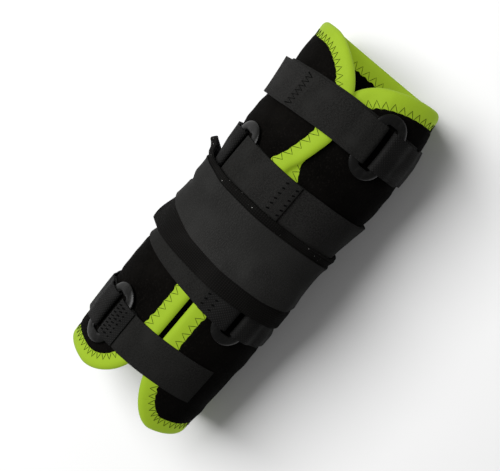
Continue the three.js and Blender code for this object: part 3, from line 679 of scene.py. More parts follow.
def hook_cloth(name, colour):
    """Hook tab: brushed cloth, rougher than the straps, with brighter fibre ends."""
    finish = Finish(name, roughness=0.85, specular=0.05)
    place = finish.place(from_uv=True)
    fibre = finish.noise(place, 900, detail=4.0, roughness=0.75)
    tips = finish.ramp(finish.noise(place, 1300, detail=1.0), 0.6, 0.75)
    worn = finish.noise(finish.place(), 60, detail=4.0)
    shade = finish.mix(finish.ramp(fibre, 0.38, 0.62), lighter(colour, 0.5), lighter(colour, 1.5))
    shade = finish.mix(finish.times(tips, 0.7), shade, lighter(colour, 2.6))
    shade = finish.mix(finish.ramp(worn, 0.5, 0.8), shade, lighter(colour, 1.3))
    finish.bump(finish.ribs(place, 0.0016, 0), 0.0001, 0.5)
    finish.bump(fibre, 0.0003, 0.8)
    return finish.done(shade, finish.ramp(worn, 0.3, 0.7, 0.92, 0.8))


def woven_webbing(name, colour):
    """Plain woven webbing, with its threads aslant."""
    finish = Finish(name, roughness=0.75, specular=0.08)
    place = finish.place(from_uv=True)
    turned = finish.add("Mapping", Vector=place, Rotation=(0, 0, math.radians(38))).outputs["Vector"]
    weave = finish.times(finish.ribs(turned, 0.0015, 0), finish.ribs(turned, 0.0015, 1))
    fibre = finish.noise(place, 1700, detail=2.0)
    worn = finish.noise(finish.place(), 55, detail=4.0)
    shade = finish.mix(finish.ramp(weave, 0.0, 0.8), lighter(colour, 0.6), lighter(colour, 1.5))
    shade = finish.mix(finish.times(finish.ramp(worn, 0.45, 0.8), 0.6), shade, lighter(colour, 1.7))
    finish.bump(weave, 0.0003, 0.8)
    finish.bump(fibre, 0.00015, 0.5)
    return finish.done(shade, finish.ramp(worn, 0.3, 0.7, 0.85, 0.7))


def bright_binding(name, colour, shade_colour, painted_glow):
    """Soft fluorescent tape with fine ribs across, and a painted glow: it gives off light of its own colour,
    in light and in shade alike.
    """
    finish = Finish(
        name, roughness=0.75, specular=0.1, sheen=0.04, sheen_roughness=0.5, sheen_tint=(0.9, 1, 0.6),
    )
    place = finish.place(from_uv=True)
    rib = finish.ribs(place, 0.0008, 1)
    fibre = finish.noise(place, 1400, detail=2.0)
    worn = finish.noise(finish.place(), 70, detail=4.0)
    shade = finish.mix(finish.ramp(worn, 0.25, 0.75), shade_colour, colour)
    shade = finish.mix(finish.times(finish.ramp(fibre, 0.35, 0.7), 0.25), shade, lighter(colour, 1.2))
    finish.bump(rib, 0.00004, 0.4)
    finish.bump(fibre, 0.00015, 0.4)
    # Painted glow: the binding gives off light of its own colour, which lifts its shaded side.
    finish.shader.inputs["Emission Color"].default_value = (*colour[:3], 1)
    finish.shader.inputs["Emission Strength"].default_value = painted_glow
    return finish.done(shade, finish.ramp(worn, 0.3, 0.7, 0.8, 0.68))


def moulded_plastic(name, colour):
    """Black moulded plastic with a satin face, fine grain and a few rubbed edges."""
    finish = Finish(name, roughness=0.3, specular=0.15)
    place = finish.place()
    grain = finish.noise(place, 900, detail=2.0)
    rubbed = finish.noise(place, 120, detail=5.0, roughness=0.7, stretch=(1, 3, 1))
    shade = finish.mix(finish.ramp(rubbed, 0.55, 0.75), colour[:3], lighter(colour, 2.2))
    finish.bump(grain, 0.00006, 0.4)
    return finish.done(shade, finish.ramp(rubbed, 0.3, 0.7, 0.26, 0.4))


def twisted_thread(name, colour):
    """Sewing thread with a little twist."""
    finish = Finish(name, roughness=0.8, specular=0.03)
    twist = finish.noise(finish.place(), 2600, detail=1.0)
    finish.bump(twist, 0.0001, 0.6)
    return finish.done(finish.mix(finish.ramp(twist, 0.3, 0.7), lighter(colour, 0.7), lighter(colour, 1.6)))


def pale_floor(name, colour):
    """Plain pale paper."""
    finish = Finish(name, roughness=0.9, specular=0.1)
    grain = finish.noise(finish.place(), 6, detail=3.0)
    return finish.done(finish.mix(finish.ramp(grain, 0.3, 0.7), colour[:3], lighter(colour, 0.985)))


class Course:
    """Line of a strap in the tube's section, as points of arc length and height off the sleeve."""

    def __init__(self, around, out):
        self.points = [(around, out)]

    def run(self, around):
        """Straight run at the same height."""
        start, out = self.points[-1]
        for share in np.linspace(0, 1, 40)[1:]:
            self.points.append((start + (around - start) * share, out))
        return self

    def step(self, around, out):
        """Soft step to another height."""
        start, low = self.points[-1]
        for share in np.linspace(0, 1, 14)[1:]:
            height = low + (out - low) * smoothstep(share, 0, 1)
            self.points.append((start + (around - start) * share, float(height)))
        return self

    def fold(self, around, way, out):
        """Half turn round the edge of a ring's bar."""
        low = self.points[-1][1]
        radius = (out - low) / 2
        for turn in np.linspace(0, math.pi, 15)[1:]:
            self.points.append((around + way * radius * math.sin(turn), low + radius * (1 - math.cos(turn))))
        return self

    def line(self, spacing):
        """The course as evenly spaced points."""
        points = np.array(self.points)
        length = np.linalg.norm(np.diff(points, axis=0), axis=1).sum()
        even = resampled(points, max(8, round(length / spacing)))
        return np.concatenate([even, points[-1:]]), length


def strap_middle(strap, around):
    """Place along the tube of a strap's middle line."""
    angles, places = zip(*strap["course"])
    place = follow(angles, places, around / around_at(1))
    return place * reach_of(place)


def through_ring_course(strap):
    """What runs from its sewn end to the ring, through the slot and back over itself to the lap."""
    side = strap["side"]
    ring = around_at(strap["ring"])
    slot_edge = ring - side * RING_SLOT[1] / 2
    bar_edge = ring - side * RING_WIDTH / 2
    lap_start = around_at(strap["lap"])
    lap_end = lap_start - side * LAP_LENGTH
    before_lap = lap_start + side * LAP_LENGTH
    step_end = bar_edge - side * STEP_DOWN
    sewn_end = lap_end if strap["looped"] else -side * around_at(SEWN_END_ANGLE)
    course = Course(sewn_end, FIRST_LAYER).run(slot_edge)
    course.fold(slot_edge, side, OVER_BAR).run(bar_edge)
    if side * (step_end - before_lap) > 0:
        course.step(step_end, SECOND_LAYER).run(before_lap)
        return course.step(lap_start, THIRD_LAYER).run(lap_end)
    return course.step(lap_end, THIRD_LAYER)


def free_end_course(strap):
    """What goes on from the lap to the free end. On a looped strap it comes down to the sleeve."""
    side = strap["side"]
    clear = around_at(strap["ring"]) - side * (RING_WIDTH / 2 + LAYER_GAP)
    start = side * min(side * around_at(strap["lap"]), side * clear)
    course = Course(start, SECOND_LAYER)
    if strap["looped"]:
        lap_end = start - side * LAP_LENGTH
        course.run(lap_end).step(lap_end - side * STEP_DOWN, FIRST_LAYER)
    return course.run(around_at(strap["end"]))


def ring_loop_course(strap):
    """The loop that holds a ring: a short leg under the bar, a long leg over it and on to its sewn end."""
    side = strap["side"]
    ring = around_at(strap["ring"])
    slot_edge = ring + side * RING_SLOT[1] / 2
    bar_edge = ring + side * RING_WIDTH / 2
    leg_end = bar_edge + side * RING_LOOP_LEG
    course = Course(leg_end, FIRST_LAYER).run(slot_edge)
    course.fold(slot_edge, -side, OVER_BAR).run(bar_edge)
    course.step(bar_edge + side * STEP_DOWN, SECOND_LAYER).run(leg_end + side * LAYER_GAP * 2)
    return course.step(leg_end + side * STEP_DOWN, FIRST_LAYER).run(side * around_at(SEWN_END_ANGLE))


def laid_strip(name, strap, course, sizes, curl=0.0):
    """Strip of webbing laid along a course, with rounded edges."""
    line, length = course.line(0.0013)
    piece = flat_cloth(name, len(line) - 1, 12, STRAP_WIDTH, length)
    index = np.arange(len(line)) / (len(line) - 1)

    def place(across, along):
        around = np.interp(along, index, line[:, 0])
        out = np.interp(along, index, line[:, 1])
        share = across - 0.5
        waves = np.sin(around * WAVES_A_METRE + share * 2.4)
        slack = sizes.strap_waviness * waves * (1 - (2 * share) ** 2)
        free = curl * np.clip((along - 1) / CURLED_SHARE + 1, 0, None) ** 2 * (0.5 + share)
        shift = strap.get("under_shift", 0) * (1 - smoothstep(out, FIRST_LAYER, SECOND_LAYER))
        x = strap_middle(strap, around) + share * STRAP_WIDTH + shift
        return over_slit(x, around, out + free + slack)

    lay(piece, place)
    thicken(piece, sizes.strap_thickness, edge=CLOTH_EDGE)
    return piece, length


def pad_end_share(around):
    """Share of the way into the pad's loose left end."""
    return smoothstep(-around, around_at(PAD_LOOSE_FROM), -around_at(PAD_ANGLES[0]))


def elbow_edges(around):
    """Edges of the pad and the band at a place round the tube, as places along it."""
    angle = around / around_at(1)
    pad_middle = (PAD_UPPER_EDGE - PAD_LOWER_EDGE) / 2
    pad_half = (PAD_UPPER_EDGE + PAD_LOWER_EDGE) / 2
    middle = pad_middle + pad_half * follow(BAND_COURSE[:, 0], BAND_COURSE[:, 1], angle)
    half = BAND_WIDTH / 2 * follow(BAND_COURSE[:, 0], BAND_COURSE[:, 2], angle)
    pad_high = follow(PAD_UPPER_COURSE[:, 0], PAD_UPPER_COURSE[:, 1], angle)
    return -PAD_LOWER_EDGE + 0 * around, middle - half, middle + half, pad_high


def pad_floor(x, around):
    """Height of what lies under the pad, off the sleeve."""
    above, below = STRAPS["above_elbow"], STRAPS["below_elbow"]
    over_layer = STRAP_THICKNESS / 2 + LAYER_GAP
    stack = OVER_BAR + over_layer
    half = STRAP_WIDTH / 2 + PAD_MARGIN
    on_below = hill(x, -2 * LOWER_REACH, strap_middle(below, around) + half, PAD_RAMP)

    def over_ring(strap):
        centre = around_at(strap["ring"])
        middle = strap_middle(strap, centre)
        length, width = RING_LENGTH / 2 + PAD_MARGIN, RING_WIDTH / 2 + PAD_MARGIN
        on_length = hill(x, middle - length, middle + length, PAD_RAMP)
        return on_length * hill(around, centre - width, centre + width, PAD_RAMP)

    lap_start = around_at(below["lap"])
    lap_end = lap_start - LAP_LENGTH
    on_lap = hill(around, lap_end - PAD_MARGIN, lap_start + LAP_LENGTH, PAD_RAMP)
    leg_end = around_at(below["ring"]) + RING_WIDTH / 2 + RING_LOOP_LEG
    on_loop = hill(around, lap_end - STEP_DOWN, leg_end, STEP_DOWN)
    layers = FIRST_LAYER + (SECOND_LAYER - FIRST_LAYER) * on_loop + over_layer
    on_above = hill(x, strap_middle(above, around) - STRAP_WIDTH / 2, 2 * UPPER_REACH, PAD_EDGE_RISE)
    above_lap = around_at(above["lap"])
    on_above_lap = hill(around, above_lap - PAD_MARGIN, above_lap + LAP_LENGTH + PAD_MARGIN, PAD_RAMP)
    return np.maximum.reduce([
        np.full_like(around, LAYER_GAP),
        layers * on_below,
        stack * on_below * on_lap,
        stack * over_ring(below),
        stack * over_ring(above),
        (SECOND_LAYER + over_layer) * on_above,
        (THIRD_LAYER + over_layer) * on_above * on_above_lap,
    ])


class PadRest:
    """Grid of heights that the pad rests on: its floor, relaxed as a cloth stretched over it would lie."""

    def __init__(self, spacing=0.0015, rounds=36):
        self.x = np.arange(-2 * PAD_LOWER_EDGE, 2 * PAD_LOWER_EDGE, spacing)
        self.around = np.arange(*(around_at(angle) for angle in BAND_ANGLES), spacing)
        floor = pad_floor(*np.meshgrid(self.x, self.around, indexing="ij"))
        self.heights = floor
        for _ in range(rounds):
            padded = np.pad(self.heights, 1, mode="edge")
            mean = (padded[:-2, 1:-1] + padded[2:, 1:-1] + padded[1:-1, :-2] + padded[1:-1, 2:]) / 4
            self.heights = np.maximum(floor, mean)

    def at(self, x, around):
        """Height at a place, between the grid's four points round it."""
        i, share_i = self.cell(self.x, x)
        j, share_j = self.cell(self.around, around)
        near = self.heights[i, j] * (1 - share_i) + self.heights[i + 1, j] * share_i
        far = self.heights[i, j + 1] * (1 - share_i) + self.heights[i + 1, j + 1] * share_i
        return near * (1 - share_j) + far * share_j

    @staticmethod
    def cell(lines, at):
        """Index of the grid line before a place, and the share of the way to the next line."""
        steps = np.clip((at - lines[0]) / (lines[1] - lines[0]), 0, len(lines) - 1.001)
        index = steps.astype(int)
        return index, steps - index


def pad_underside(rest, x, around):
    """Height of the pad's underside, with what its loose end stands off."""
    pad_low, band_low, band_high, pad_high = elbow_edges(around)
    loose = pad_end_share(around)
    upper = PAD_UPPER_CURL * smoothstep(x, band_high - PAD_MARGIN / 2, pad_high + PAD_MARGIN / 2)
    lower = PAD_LOWER_CURL * (1 - smoothstep(x, pad_low, band_low + PAD_MARGIN))
    return rest.at(x, around) + loose * upper + loose ** 2 * lower


def binding_height(distance, size):
    """Height of the binding's face over the sheet's middle, by the distance from its outer edge."""
    round_part = size * np.sqrt(np.clip(1 - (1 - np.clip(distance / BINDING_ROUND, 0, 1)) ** 2, 0, 1))
    settle = smoothstep(distance, BINDING_ROUND, BINDING_WIDTH)
    return round_part - (size - SLEEVE_WALL / 2 - 0.0002) * settle


class BraceSizes(bpy.types.PropertyGroup):
    binding_puff: FloatProperty(
        name="Binding puff", description="How far the binding swells over the sleeve's face", default=0.0008,
        min=0, max=0.003, unit="LENGTH",
    )
    binding_wave: FloatProperty(
        name="Binding wave", description="How far the binding's inner edge waves between stitches",
        default=0.0005, min=0, max=0.002, unit="LENGTH",
    )
    stitch_pitch: FloatProperty(
        name="Zigzag pitch", description="Length of one zigzag stitch along the binding", default=0.0066,
        min=0.002, max=0.02, unit="LENGTH",
    )
    stitch_depth: FloatProperty(
        name="Zigzag depth", description="How far the zigzag reaches into the binding", default=0.0056,
        min=0.001, max=0.01, unit="LENGTH",
    )
    thread_radius: FloatProperty(
        name="Thread radius", description="Half the thickness of the binding's thread", default=0.0002,
        min=0.0001, max=0.001, unit="LENGTH",
    )
    bar_radius: FloatProperty(
        name="Bar radius", description="Half the thickness of the straps' heavier thread", default=0.0005,
        min=0.0001, max=0.001, unit="LENGTH",
    )
    strap_thickness: FloatProperty(
        name="Strap thickness", description="Thickness of the straps' webbing", default=0.0012,
        min=0.0005, max=0.003, unit="LENGTH",
    )
    strap_waviness: FloatProperty(
        name="Strap waviness", description="How far the straps rise and fall between their edges",
        default=0.00018, min=0, max=0.001, unit="LENGTH",
    )
    sleeve_swell: FloatProperty(
        name="Sleeve swell", description="How far the padding swells between the straps", default=0.0009,
        min=0, max=0.003, unit="LENGTH",
    )
    mesh_rows: IntProperty(
        name="Sleeve rows", description="Rows of faces along the sleeve", default=110, min=20, max=400,
    )


class BraceColours(bpy.types.PropertyGroup):
    sleeve: FloatVectorProperty(
        name="Sleeve", description="Loop cloth of the sleeve", default=(0.0016, 0.0014, 0.0012),
        subtype="COLOR", min=0, max=1,
    )
    lime: FloatVectorProperty(
        name="Binding", description="Bright cloth of the binding", default=(0.113, 0.17, 0.0068),
        subtype="COLOR", min=0, max=1,
    )
    lime_shade: FloatVectorProperty(
        name="Binding shade", description="Binding where it is rubbed", default=(0.094, 0.142, 0.0075),
        subtype="COLOR", min=0, max=1,
    )
    # Painted glow of the binding: light of its own colour that it gives off, lifting its shaded side.
    lime_painted_glow: FloatProperty(
        name="Binding glow", description="Share of its colour that the binding gives back as light",
        default=1.3, min=0, max=2,
    )
    strap: FloatVectorProperty(
        name="Straps", description="Brushed webbing of the straps", default=(0.0082, 0.0081, 0.0076),
        subtype="COLOR", min=0, max=1,
    )
    band: FloatVectorProperty(
        name="Elbow band", description="Ribbed elastic over the elbow", default=(0.0135, 0.0134, 0.0128),
        subtype="COLOR", min=0, max=1,
    )
    pad: FloatVectorProperty(
        name="Elbow pad", description="Knitted face of the pad", default=(0.0042, 0.004, 0.0037),
        subtype="COLOR", min=0, max=1,
    )
    hook_tab: FloatVectorProperty(
        name="Hook tabs", description="Rougher cloth sewn to the strap ends", default=(0.009, 0.0088, 0.0084),
        subtype="COLOR", min=0, max=1,
    )
    webbing: FloatVectorProperty(
        name="Ring loops", description="Woven webbing that holds the rings", default=(0.0055, 0.0054, 0.0052),
        subtype="COLOR", min=0, max=1,
    )
    plastic: FloatVectorProperty(
        name="Rings", description="Moulded plastic of the rings", default=(0.0045, 0.0045, 0.0043),
        subtype="COLOR", min=0, max=1,
    )
    thread: FloatVectorProperty(
        name="Binding thread", description="Zigzag thread of the binding", default=(0.006, 0.0085, 0.003),
        subtype="COLOR", min=0, max=1,
    )
    bar_thread: FloatVectorProperty(
        name="Strap thread", description="Heavier thread over the laps", default=(0.0007, 0.0007, 0.0007),
        subtype="COLOR", min=0, max=1,
    )
    lint: FloatVectorProperty(
        name="Lint", description="Specks of lint on the pad", default=(0.4, 0.4, 0.38),
        subtype="COLOR", min=0, max=1,
    )
    floor: FloatVectorProperty(
        name="Floor", description="Pale floor", default=(0.68, 0.68, 0.68),
        subtype="COLOR", min=0, max=1,
    )


class BRACE_OT_stage(bpy.types.Operator):
    """Pale floor, soft studio light and the photograph's camera"""

    bl_idname = "brace.stage"
    bl_label = "Stage"

    def execute(self, context):
        scene = context.scene
        deselect()
        bpy.ops.mesh.primitive_plane_add(size=6, location=(0, 0, 0))
        floor = context.object
        floor.name = floor.data.name = "pale_floor"
        floor.data.materials.append(pale_floor("pale_floor", scene.brace_colours.floor))

        focus = Vector((0, CAMERA_SIDE, AXIS_HEIGHT))
        turn_x, turn_y = IMAGE_TURN
        tilt_cos, tilt_sin = math.cos(CAMERA_TILT), math.sin(CAMERA_TILT)
        right = Vector((turn_x * tilt_cos, -turn_y, -turn_x * tilt_sin))
        up = Vector((turn_y * tilt_cos, turn_x, -turn_y * tilt_sin))
        back = right.cross(up)
        bpy.ops.object.camera_add()
        camera = context.object
        camera.name = "photo_camera"
        camera.data.lens = CAMERA_LENS
        camera.data.sensor_width = 36
        camera.data.sensor_fit = "HORIZONTAL"
        turned = Matrix((right, up, back)).transposed().to_4x4()
        camera.matrix_world = Matrix.Translation(focus + back * CAMERA_DISTANCE) @ turned
        scene.camera = camera

        for name, place, size, power in (
            ("window_light", (0.15, 1.1, 1.5), 1.2, 62),
            ("overhead_light", (0.0, 0.3, 1.9), 1.8, 5),
        ):
            bpy.ops.object.light_add(type="AREA", location=place)
            light = context.object
            light.name = name
            light.data.shape = "SQUARE"
            light.data.size = size
            light.data.energy = power
            light.rotation_euler = (focus - light.location).to_track_quat("-Z", "Y").to_euler()
        world = bpy.data.worlds.new("studio")
        scene.world = world
        world.use_nodes = True
        background = next(n for n in world.node_tree.nodes if n.type == "BACKGROUND")
        background.inputs["Color"].default_value = (1, 1, 1, 1)
        background.inputs["Strength"].default_value = 0.17
        scene.view_settings.view_transform = "Standard"
        return {"FINISHED"}


class BRACE_OT_sleeve(bpy.types.Operator):
    """Padded sleeve, a grid laid round the tube and given its wall"""

    bl_idname = "brace.sleeve"
    bl_label = "Padded sleeve"

    def execute(self, context):
        sizes = context.scene.brace_sizes
        rows = sizes.mesh_rows
        columns = round(rows * GIRTH / (UPPER_REACH + LOWER_REACH))
        sides = sheet_sides(rows, columns)
        outline = np.concatenate(sides)
        ring = outline[:, :2] + outline[:, 2:] * SHEET_IN_BINDING
        right = ring[:rows + 1]
        top = ring[rows:rows + columns + 1]
        left = ring[rows + columns:2 * rows + columns + 1][::-1]
        bottom = np.concatenate([ring[2 * rows + columns:], ring[:1]])[::-1]
        piece = flat_cloth("padded_sleeve", rows, columns, GIRTH, UPPER_REACH + LOWER_REACH)

        def flat_place(across, along):
            """Place on the flat sheet, evenly between the four sides of its outline."""
            i = np.round(along * rows).astype(int)
            j = np.round(across * columns).astype(int)
            v = ((right[:, 0] - right[0, 0]) / (right[-1, 0] - right[0, 0]))[i][:, None]
            near_right = 1 - smoothstep(across, 0, SHEET_BLEND)[:, None]
            near_left = 1 - smoothstep(1 - across, 0, SHEET_BLEND)[:, None]
            middle = bottom[j] * (1 - v) + top[j] * v
            from_right = right[i] - bottom[0] * (1 - v) - top[0] * v
            from_left = left[i] - bottom[-1] * (1 - v) - top[-1] * v
            return middle + near_right * from_right + near_left * from_left

        thinned = []

        def place(across, along):
            spots = flat_place(across, along)
            gaps = [np.linalg.norm(outline[:, :2] - spot, axis=1).min() for spot in spots]
            under = 1 - smoothstep(np.array(gaps), *SHEET_THINS)
            thinned.append(under)
            x, w = spots.T
            around = w + GIRTH * np.where(w > HALF_GIRTH, -1, 0)
            swell = sizes.sleeve_swell * (1 - under) * self.swell(x, around)
            return on_sheet(x, w, swell - SHEET_DIP * under)

        lay(piece, place)
        face_outwards(piece)
        weigh_wall(piece, 1 - (1 - SHEET_EDGE_WALL / SLEEVE_WALL) * thinned[0])
        thicken(piece, SLEEVE_WALL, offset=-1, vertex_group="wall", thickness_vertex_group=0.0)
        colours = context.scene.brace_colours
        hand_over(piece, loop_cloth("sleeve_loop_cloth", colours.sleeve), "sleeve_cloth", ["sleeve_wrap"])
        return {"FINISHED"}

    @staticmethod
    def swell(x, around):
        """Share of the swell between the straps, with faint puckers."""
        held = np.zeros_like(x)
        for strap in STRAPS.values():
            middle = strap_middle(strap, around)
            ends = (middle - STRAP_WIDTH / 2, middle + STRAP_WIDTH / 2)
            held = np.maximum(held, hill(x, *ends, SWELL_RAMP))
        held = np.maximum(held, hill(x, -PAD_LOWER_EDGE, PAD_UPPER_EDGE, SWELL_RAMP))
        flat_start = HALF_GIRTH - REST_HALF_WIDTH
        at_back = smoothstep(np.abs(around), flat_start - SWELL_BACK_RAMP, flat_start)
        pucker = 0.25 * np.sin(x * 410 + np.sin(around * 62) * 1.4) * np.sin(around * 88 + 1.3)
        return (1 - held) * (1 - at_back) * (0.9 + pucker)


class BRACE_OT_binding(bpy.types.Operator):
    """Bright binding folded over the sleeve's whole edge, with its zigzag stitching"""

    bl_idname = "brace.binding"
    bl_label = "Edge binding"

    def execute(self, context):
        sizes = context.scene.brace_sizes
        colours = context.scene.brace_colours
        outline = np.concatenate(sheet_sides(320, 380))
        closed = np.concatenate([outline, outline[:1]])
        steps = np.linalg.norm(np.diff(closed[:, :2], axis=0), axis=1)
        length = np.concatenate([[0], np.cumsum(steps)])
        count = round(length[-1] / sizes.stitch_pitch)
        pitch = length[-1] / count
        half = SLEEVE_WALL / 2
        piece = flat_cloth("bright_edge_binding", len(outline), 30, 2 * BINDING_WIDTH, length[-1])

        def spot(along):
            """Place on the outline and inward direction there."""
            at = along * length[-1]
            columns = [np.interp(at, length, column) for column in closed.T]
            size = np.hypot(columns[2], columns[3])
            return at, columns[0], columns[1], columns[2] / size, columns[3] / size

        def wave(at):
            return np.cos(2 * math.pi * at / pitch)

        def section(at, distance):
            """Height over the sheet's middle: swollen near the fold, drawn down between the stitches."""
            swell = half + sizes.binding_puff * (1 + 0.12 * np.sin(at * 230) + 0.1 * np.sin(at * 97 + 2))
            drawn = smoothstep(distance, BINDING_WIDTH - sizes.stitch_depth - 0.001, BINDING_WIDTH - 0.001)
            return binding_height(distance, swell) - STITCH_DRAW * drawn * (1 - wave(at))

        def place(across, along):
            at, x, w, inward_x, inward_w = spot(along)
            side = np.where(across < 0.5, -1, 1)
            share = np.abs(2 * across - 1)
            distance = (BINDING_WIDTH + 0.0001 + sizes.binding_wave * wave(at)) * share ** 1.7
            out = side * section(at, distance)
            points = on_sheet(x + inward_x * distance, w + inward_w * distance, out - half)
            return above_floor(points, BINDING_FLOOR_GAP)

        lay(piece, place)
        close_doubles(piece)
        face_outwards(piece)
        thicken(piece, BINDING_CLOTH, offset=-1, edge=CLOTH_EDGE)
        smooth(piece, 75)
        cloth = bright_binding("bright_binding_cloth", colours.lime, colours.lime_shade, colours.lime_painted_glow)
        hand_over(piece, cloth, "binding_cloth", ["edge_binding"])
        lift = sizes.thread_radius * 0.55

        def thread_point(along, distance, side):
            at, x, w, inward_x, inward_w = spot(along)
            out = side * (section(at, min(distance, BINDING_WIDTH)) + lift)
            point = on_sheet(x + inward_x * distance, w + inward_w * distance, out - half)
            return above_floor(point, sizes.thread_radius)

        lines = []
        for side in (1, -1):
            points = []
            for stitch in range(count):
                for part, deep in enumerate((0, 0.5, 1, 0.5)):
                    distance = BINDING_WIDTH + STITCH_PAST_EDGE - sizes.stitch_depth * deep
                    points.append(thread_point((stitch + part / 4) / count, distance, side))
            lines.append(np.array(points))
        thread = sewing("binding_zigzag", lines, sizes.thread_radius, closed=True)
        hand_over(thread, twisted_thread("binding_thread", colours.thread), "binding_cloth")
        return {"FINISHED"}


class BRACE_OT_rings(bpy.types.Operator):
    """Moulded rings: one is modelled flat, and a copy is laid at each strap"""

    bl_idname = "brace.rings"
    bl_label = "Rings"

    def execute(self, context):
        model = self.flat_ring()
        material = moulded_plastic("ring_plastic", context.scene.brace_colours.plastic)
        for name, strap in STRAPS.items():
            activate(model)
            bpy.ops.object.duplicate(linked=False)
            piece = context.object
            piece.name = piece.data.name = f"{name}_ring_moulding"
            centre = around_at(strap["ring"])
            middle = strap_middle(strap, centre)
            before, after = (strap_middle(strap, centre + way * SLOPE_STEP) for way in (-1, 1))
            tilt = math.atan((after - before) / (2 * SLOPE_STEP))

            def place(x, y, points=piece.data.vertices):
                height = np.array([v.co.z for v in points])
                along, across = x - 0.5, y - 0.5
                lengthwise = middle + along * math.cos(tilt) + across * math.sin(tilt)
                around = centre - along * math.sin(tilt) + across * math.cos(tilt)
                return over_slit(lengthwise, around, BAR_MIDDLE + height)

            lay(piece, place)
            activate(piece)
            bpy.ops.object.mode_set(mode="EDIT")
            bpy.ops.mesh.select_all(action="SELECT")
            bpy.ops.mesh.normals_make_consistent(inside=False)
            bpy.ops.object.mode_set(mode="OBJECT")
            smooth(piece, 50)
            hand_over(piece, material, "ring_plastic", [f"{name}_ring"])
        bpy.data.objects.remove(model)
        return {"FINISHED"}

    @staticmethod
    def flat_ring():
        """Half-round ends outside and a long slot inside, with a frame that is domed on both faces."""
        end_radius = RING_WIDTH / 2 - 0.0001
        deselect()
        bpy.ops.mesh.primitive_plane_add(size=1, location=(0, 0, 0))
        ring = bpy.context.object
        ring.scale = (RING_LENGTH, RING_WIDTH, 1)
        bpy.ops.object.transform_apply(location=False, rotation=False, scale=True)
        bpy.ops.object.mode_set(mode="EDIT")
        bpy.ops.mesh.select_all(action="SELECT")
        bpy.ops.mesh.bevel(offset=end_radius, segments=12, affect="VERTICES")
        bpy.ops.mesh.select_all(action="SELECT")
        bpy.ops.mesh.inset(thickness=RING_FRAME, depth=0)
        bpy.ops.mesh.delete(type="ONLY_FACE")
        bpy.ops.object.mode_set(mode="OBJECT")
        # The inset line takes the slot's shape, with its small corners
        inner = set()
        for vertex in ring.data.vertices:
            x, y = vertex.co.x, vertex.co.y
            way = Vector((math.copysign(1, x), math.copysign(1, y)))
            centre = Vector((way.x * (RING_LENGTH / 2 - end_radius), way.y * (RING_WIDTH / 2 - end_radius)))
            out = Vector((x, y)) - centre
            if out.length < end_radius - RING_FRAME / 2:
                corner = Vector((RING_SLOT[0] / 2 - SLOT_CORNER, RING_SLOT[1] / 2 - SLOT_CORNER))
                vertex.co.xy = way * corner + out.normalized() * SLOT_CORNER
                inner.add(vertex.index)
        # Lines round the frame, with the frame thickest between its rims
        rims = []
        for edge in ring.data.edges:
            first, second = (ring.data.vertices[index].co.xy for index in edge.vertices)
            edge.select = len(inner.intersection(edge.vertices)) == 1
            if not edge.select:
                rims += [first.lerp(second, share) for share in np.linspace(0, 1, 24)]
        bpy.ops.object.mode_set(mode="EDIT")
        bpy.ops.mesh.select_mode(type="EDGE")
        bpy.ops.mesh.subdivide(number_cuts=7)
        bpy.ops.object.mode_set(mode="OBJECT")
        rims = np.array(rims)
        spots = [np.array(vertex.co.xy) for vertex in ring.data.vertices]
        gaps = np.array([np.linalg.norm(rims - spot, axis=1).min() for spot in spots])
        rise = np.sqrt(np.clip(1 - (1 - np.clip(gaps / RING_DOME, 0, 1)) ** 2, 0, 1))
        weigh_wall(ring, RING_RIM_WALL + (1 - RING_RIM_WALL) * rise)
        apply_modifier(
            ring, "SOLIDIFY", thickness=RING_THICKNESS, offset=0, vertex_group="wall",
            thickness_vertex_group=0,
        )
        apply_modifier(
            ring, "BEVEL", width=RING_ROUND, segments=3, limit_method="ANGLE", angle_limit=math.radians(60),
        )
        return ring


class BRACE_OT_straps(bpy.types.Operator):
    """Straps, hook tabs and ring loops, each a strip laid on its course, with the stitching of the laps"""

    bl_idname = "brace.straps"
    bl_label = "Straps"

    def execute(self, context):
        sizes = context.scene.brace_sizes
        colours = context.scene.brace_colours
        webbing = strap_cloth("strap_brushed_cloth", colours.strap)
        hooks = hook_cloth("hook_tab_cloth", colours.hook_tab)
        loops = woven_webbing("ring_loop_webbing", colours.webbing)
        thread = twisted_thread("strap_thread", colours.bar_thread)
        for name, strap in STRAPS.items():
            looped = strap["looped"]
            kind = "strap_loop" if looped else "strap"
            body, length = laid_strip(f"{name}_{kind}_webbing", strap, through_ring_course(strap), sizes)
            finish = (loops, "loop_webbing") if looped else (webbing, "strap_webbing")
            hand_over(body, *finish, [f"{name}_{kind}"])
            lines = self.lap_stitches(strap, LAP_STITCHES[name])
            stitches = sewing(f"{name}_lap_stitching", lines, sizes.bar_radius)
            hand_over(stitches, thread, "strap_webbing")
            kind = "strap" if looped else "hook_tab"
            tab, length = laid_strip(
                f"{name}_{kind}_cloth", strap, free_end_course(strap), sizes, strap["curl"],
            )
            finish = (webbing, "strap_webbing") if looped else (hooks, "hook_tab_cloth")
            hand_over(tab, *finish, [f"{name}_{kind}"])
            loop, length = laid_strip(f"{name}_ring_loop_webbing", strap, ring_loop_course(strap), sizes)
            hand_over(loop, loops, "loop_webbing", [f"{name}_ring_loop"])
        return {"FINISHED"}

    @staticmethod
    def lap_stitches(strap, rows):
        """Threads over the lap: each row runs across the strap, as a zigzag or as bars with gaps between."""
        course, _ = through_ring_course(strap).line(0.001)
        turn = np.argmax(strap["side"] * course[:, 0])
        after_fold = course[turn:]
        order = np.argsort(after_fold[:, 0])

        def point(share, angle):
            around = around_at(angle)
            top = np.interp(around, after_fold[order, 0], after_fold[order, 1]) + STRAP_THICKNESS / 2
            across = (share - 0.5) * (STRAP_WIDTH - 2 * STITCH_MARGIN)
            return over_slit(strap_middle(strap, around) + across, around, top + STITCH_LIFT)

        lines = []
        for first, second, count, bars in rows:
            if bars:
                shares = (np.arange(count) + 0.5) / count
                lines += [np.array([point(share, first), point(share + 0.03, second)]) for share in shares]
            else:
                shares = np.linspace(0, 1, 2 * count + 1)
                turns = [first, second] * count + [first]
                lines.append(np.array([point(share, angle) for share, angle in zip(shares, turns)]))
        return lines


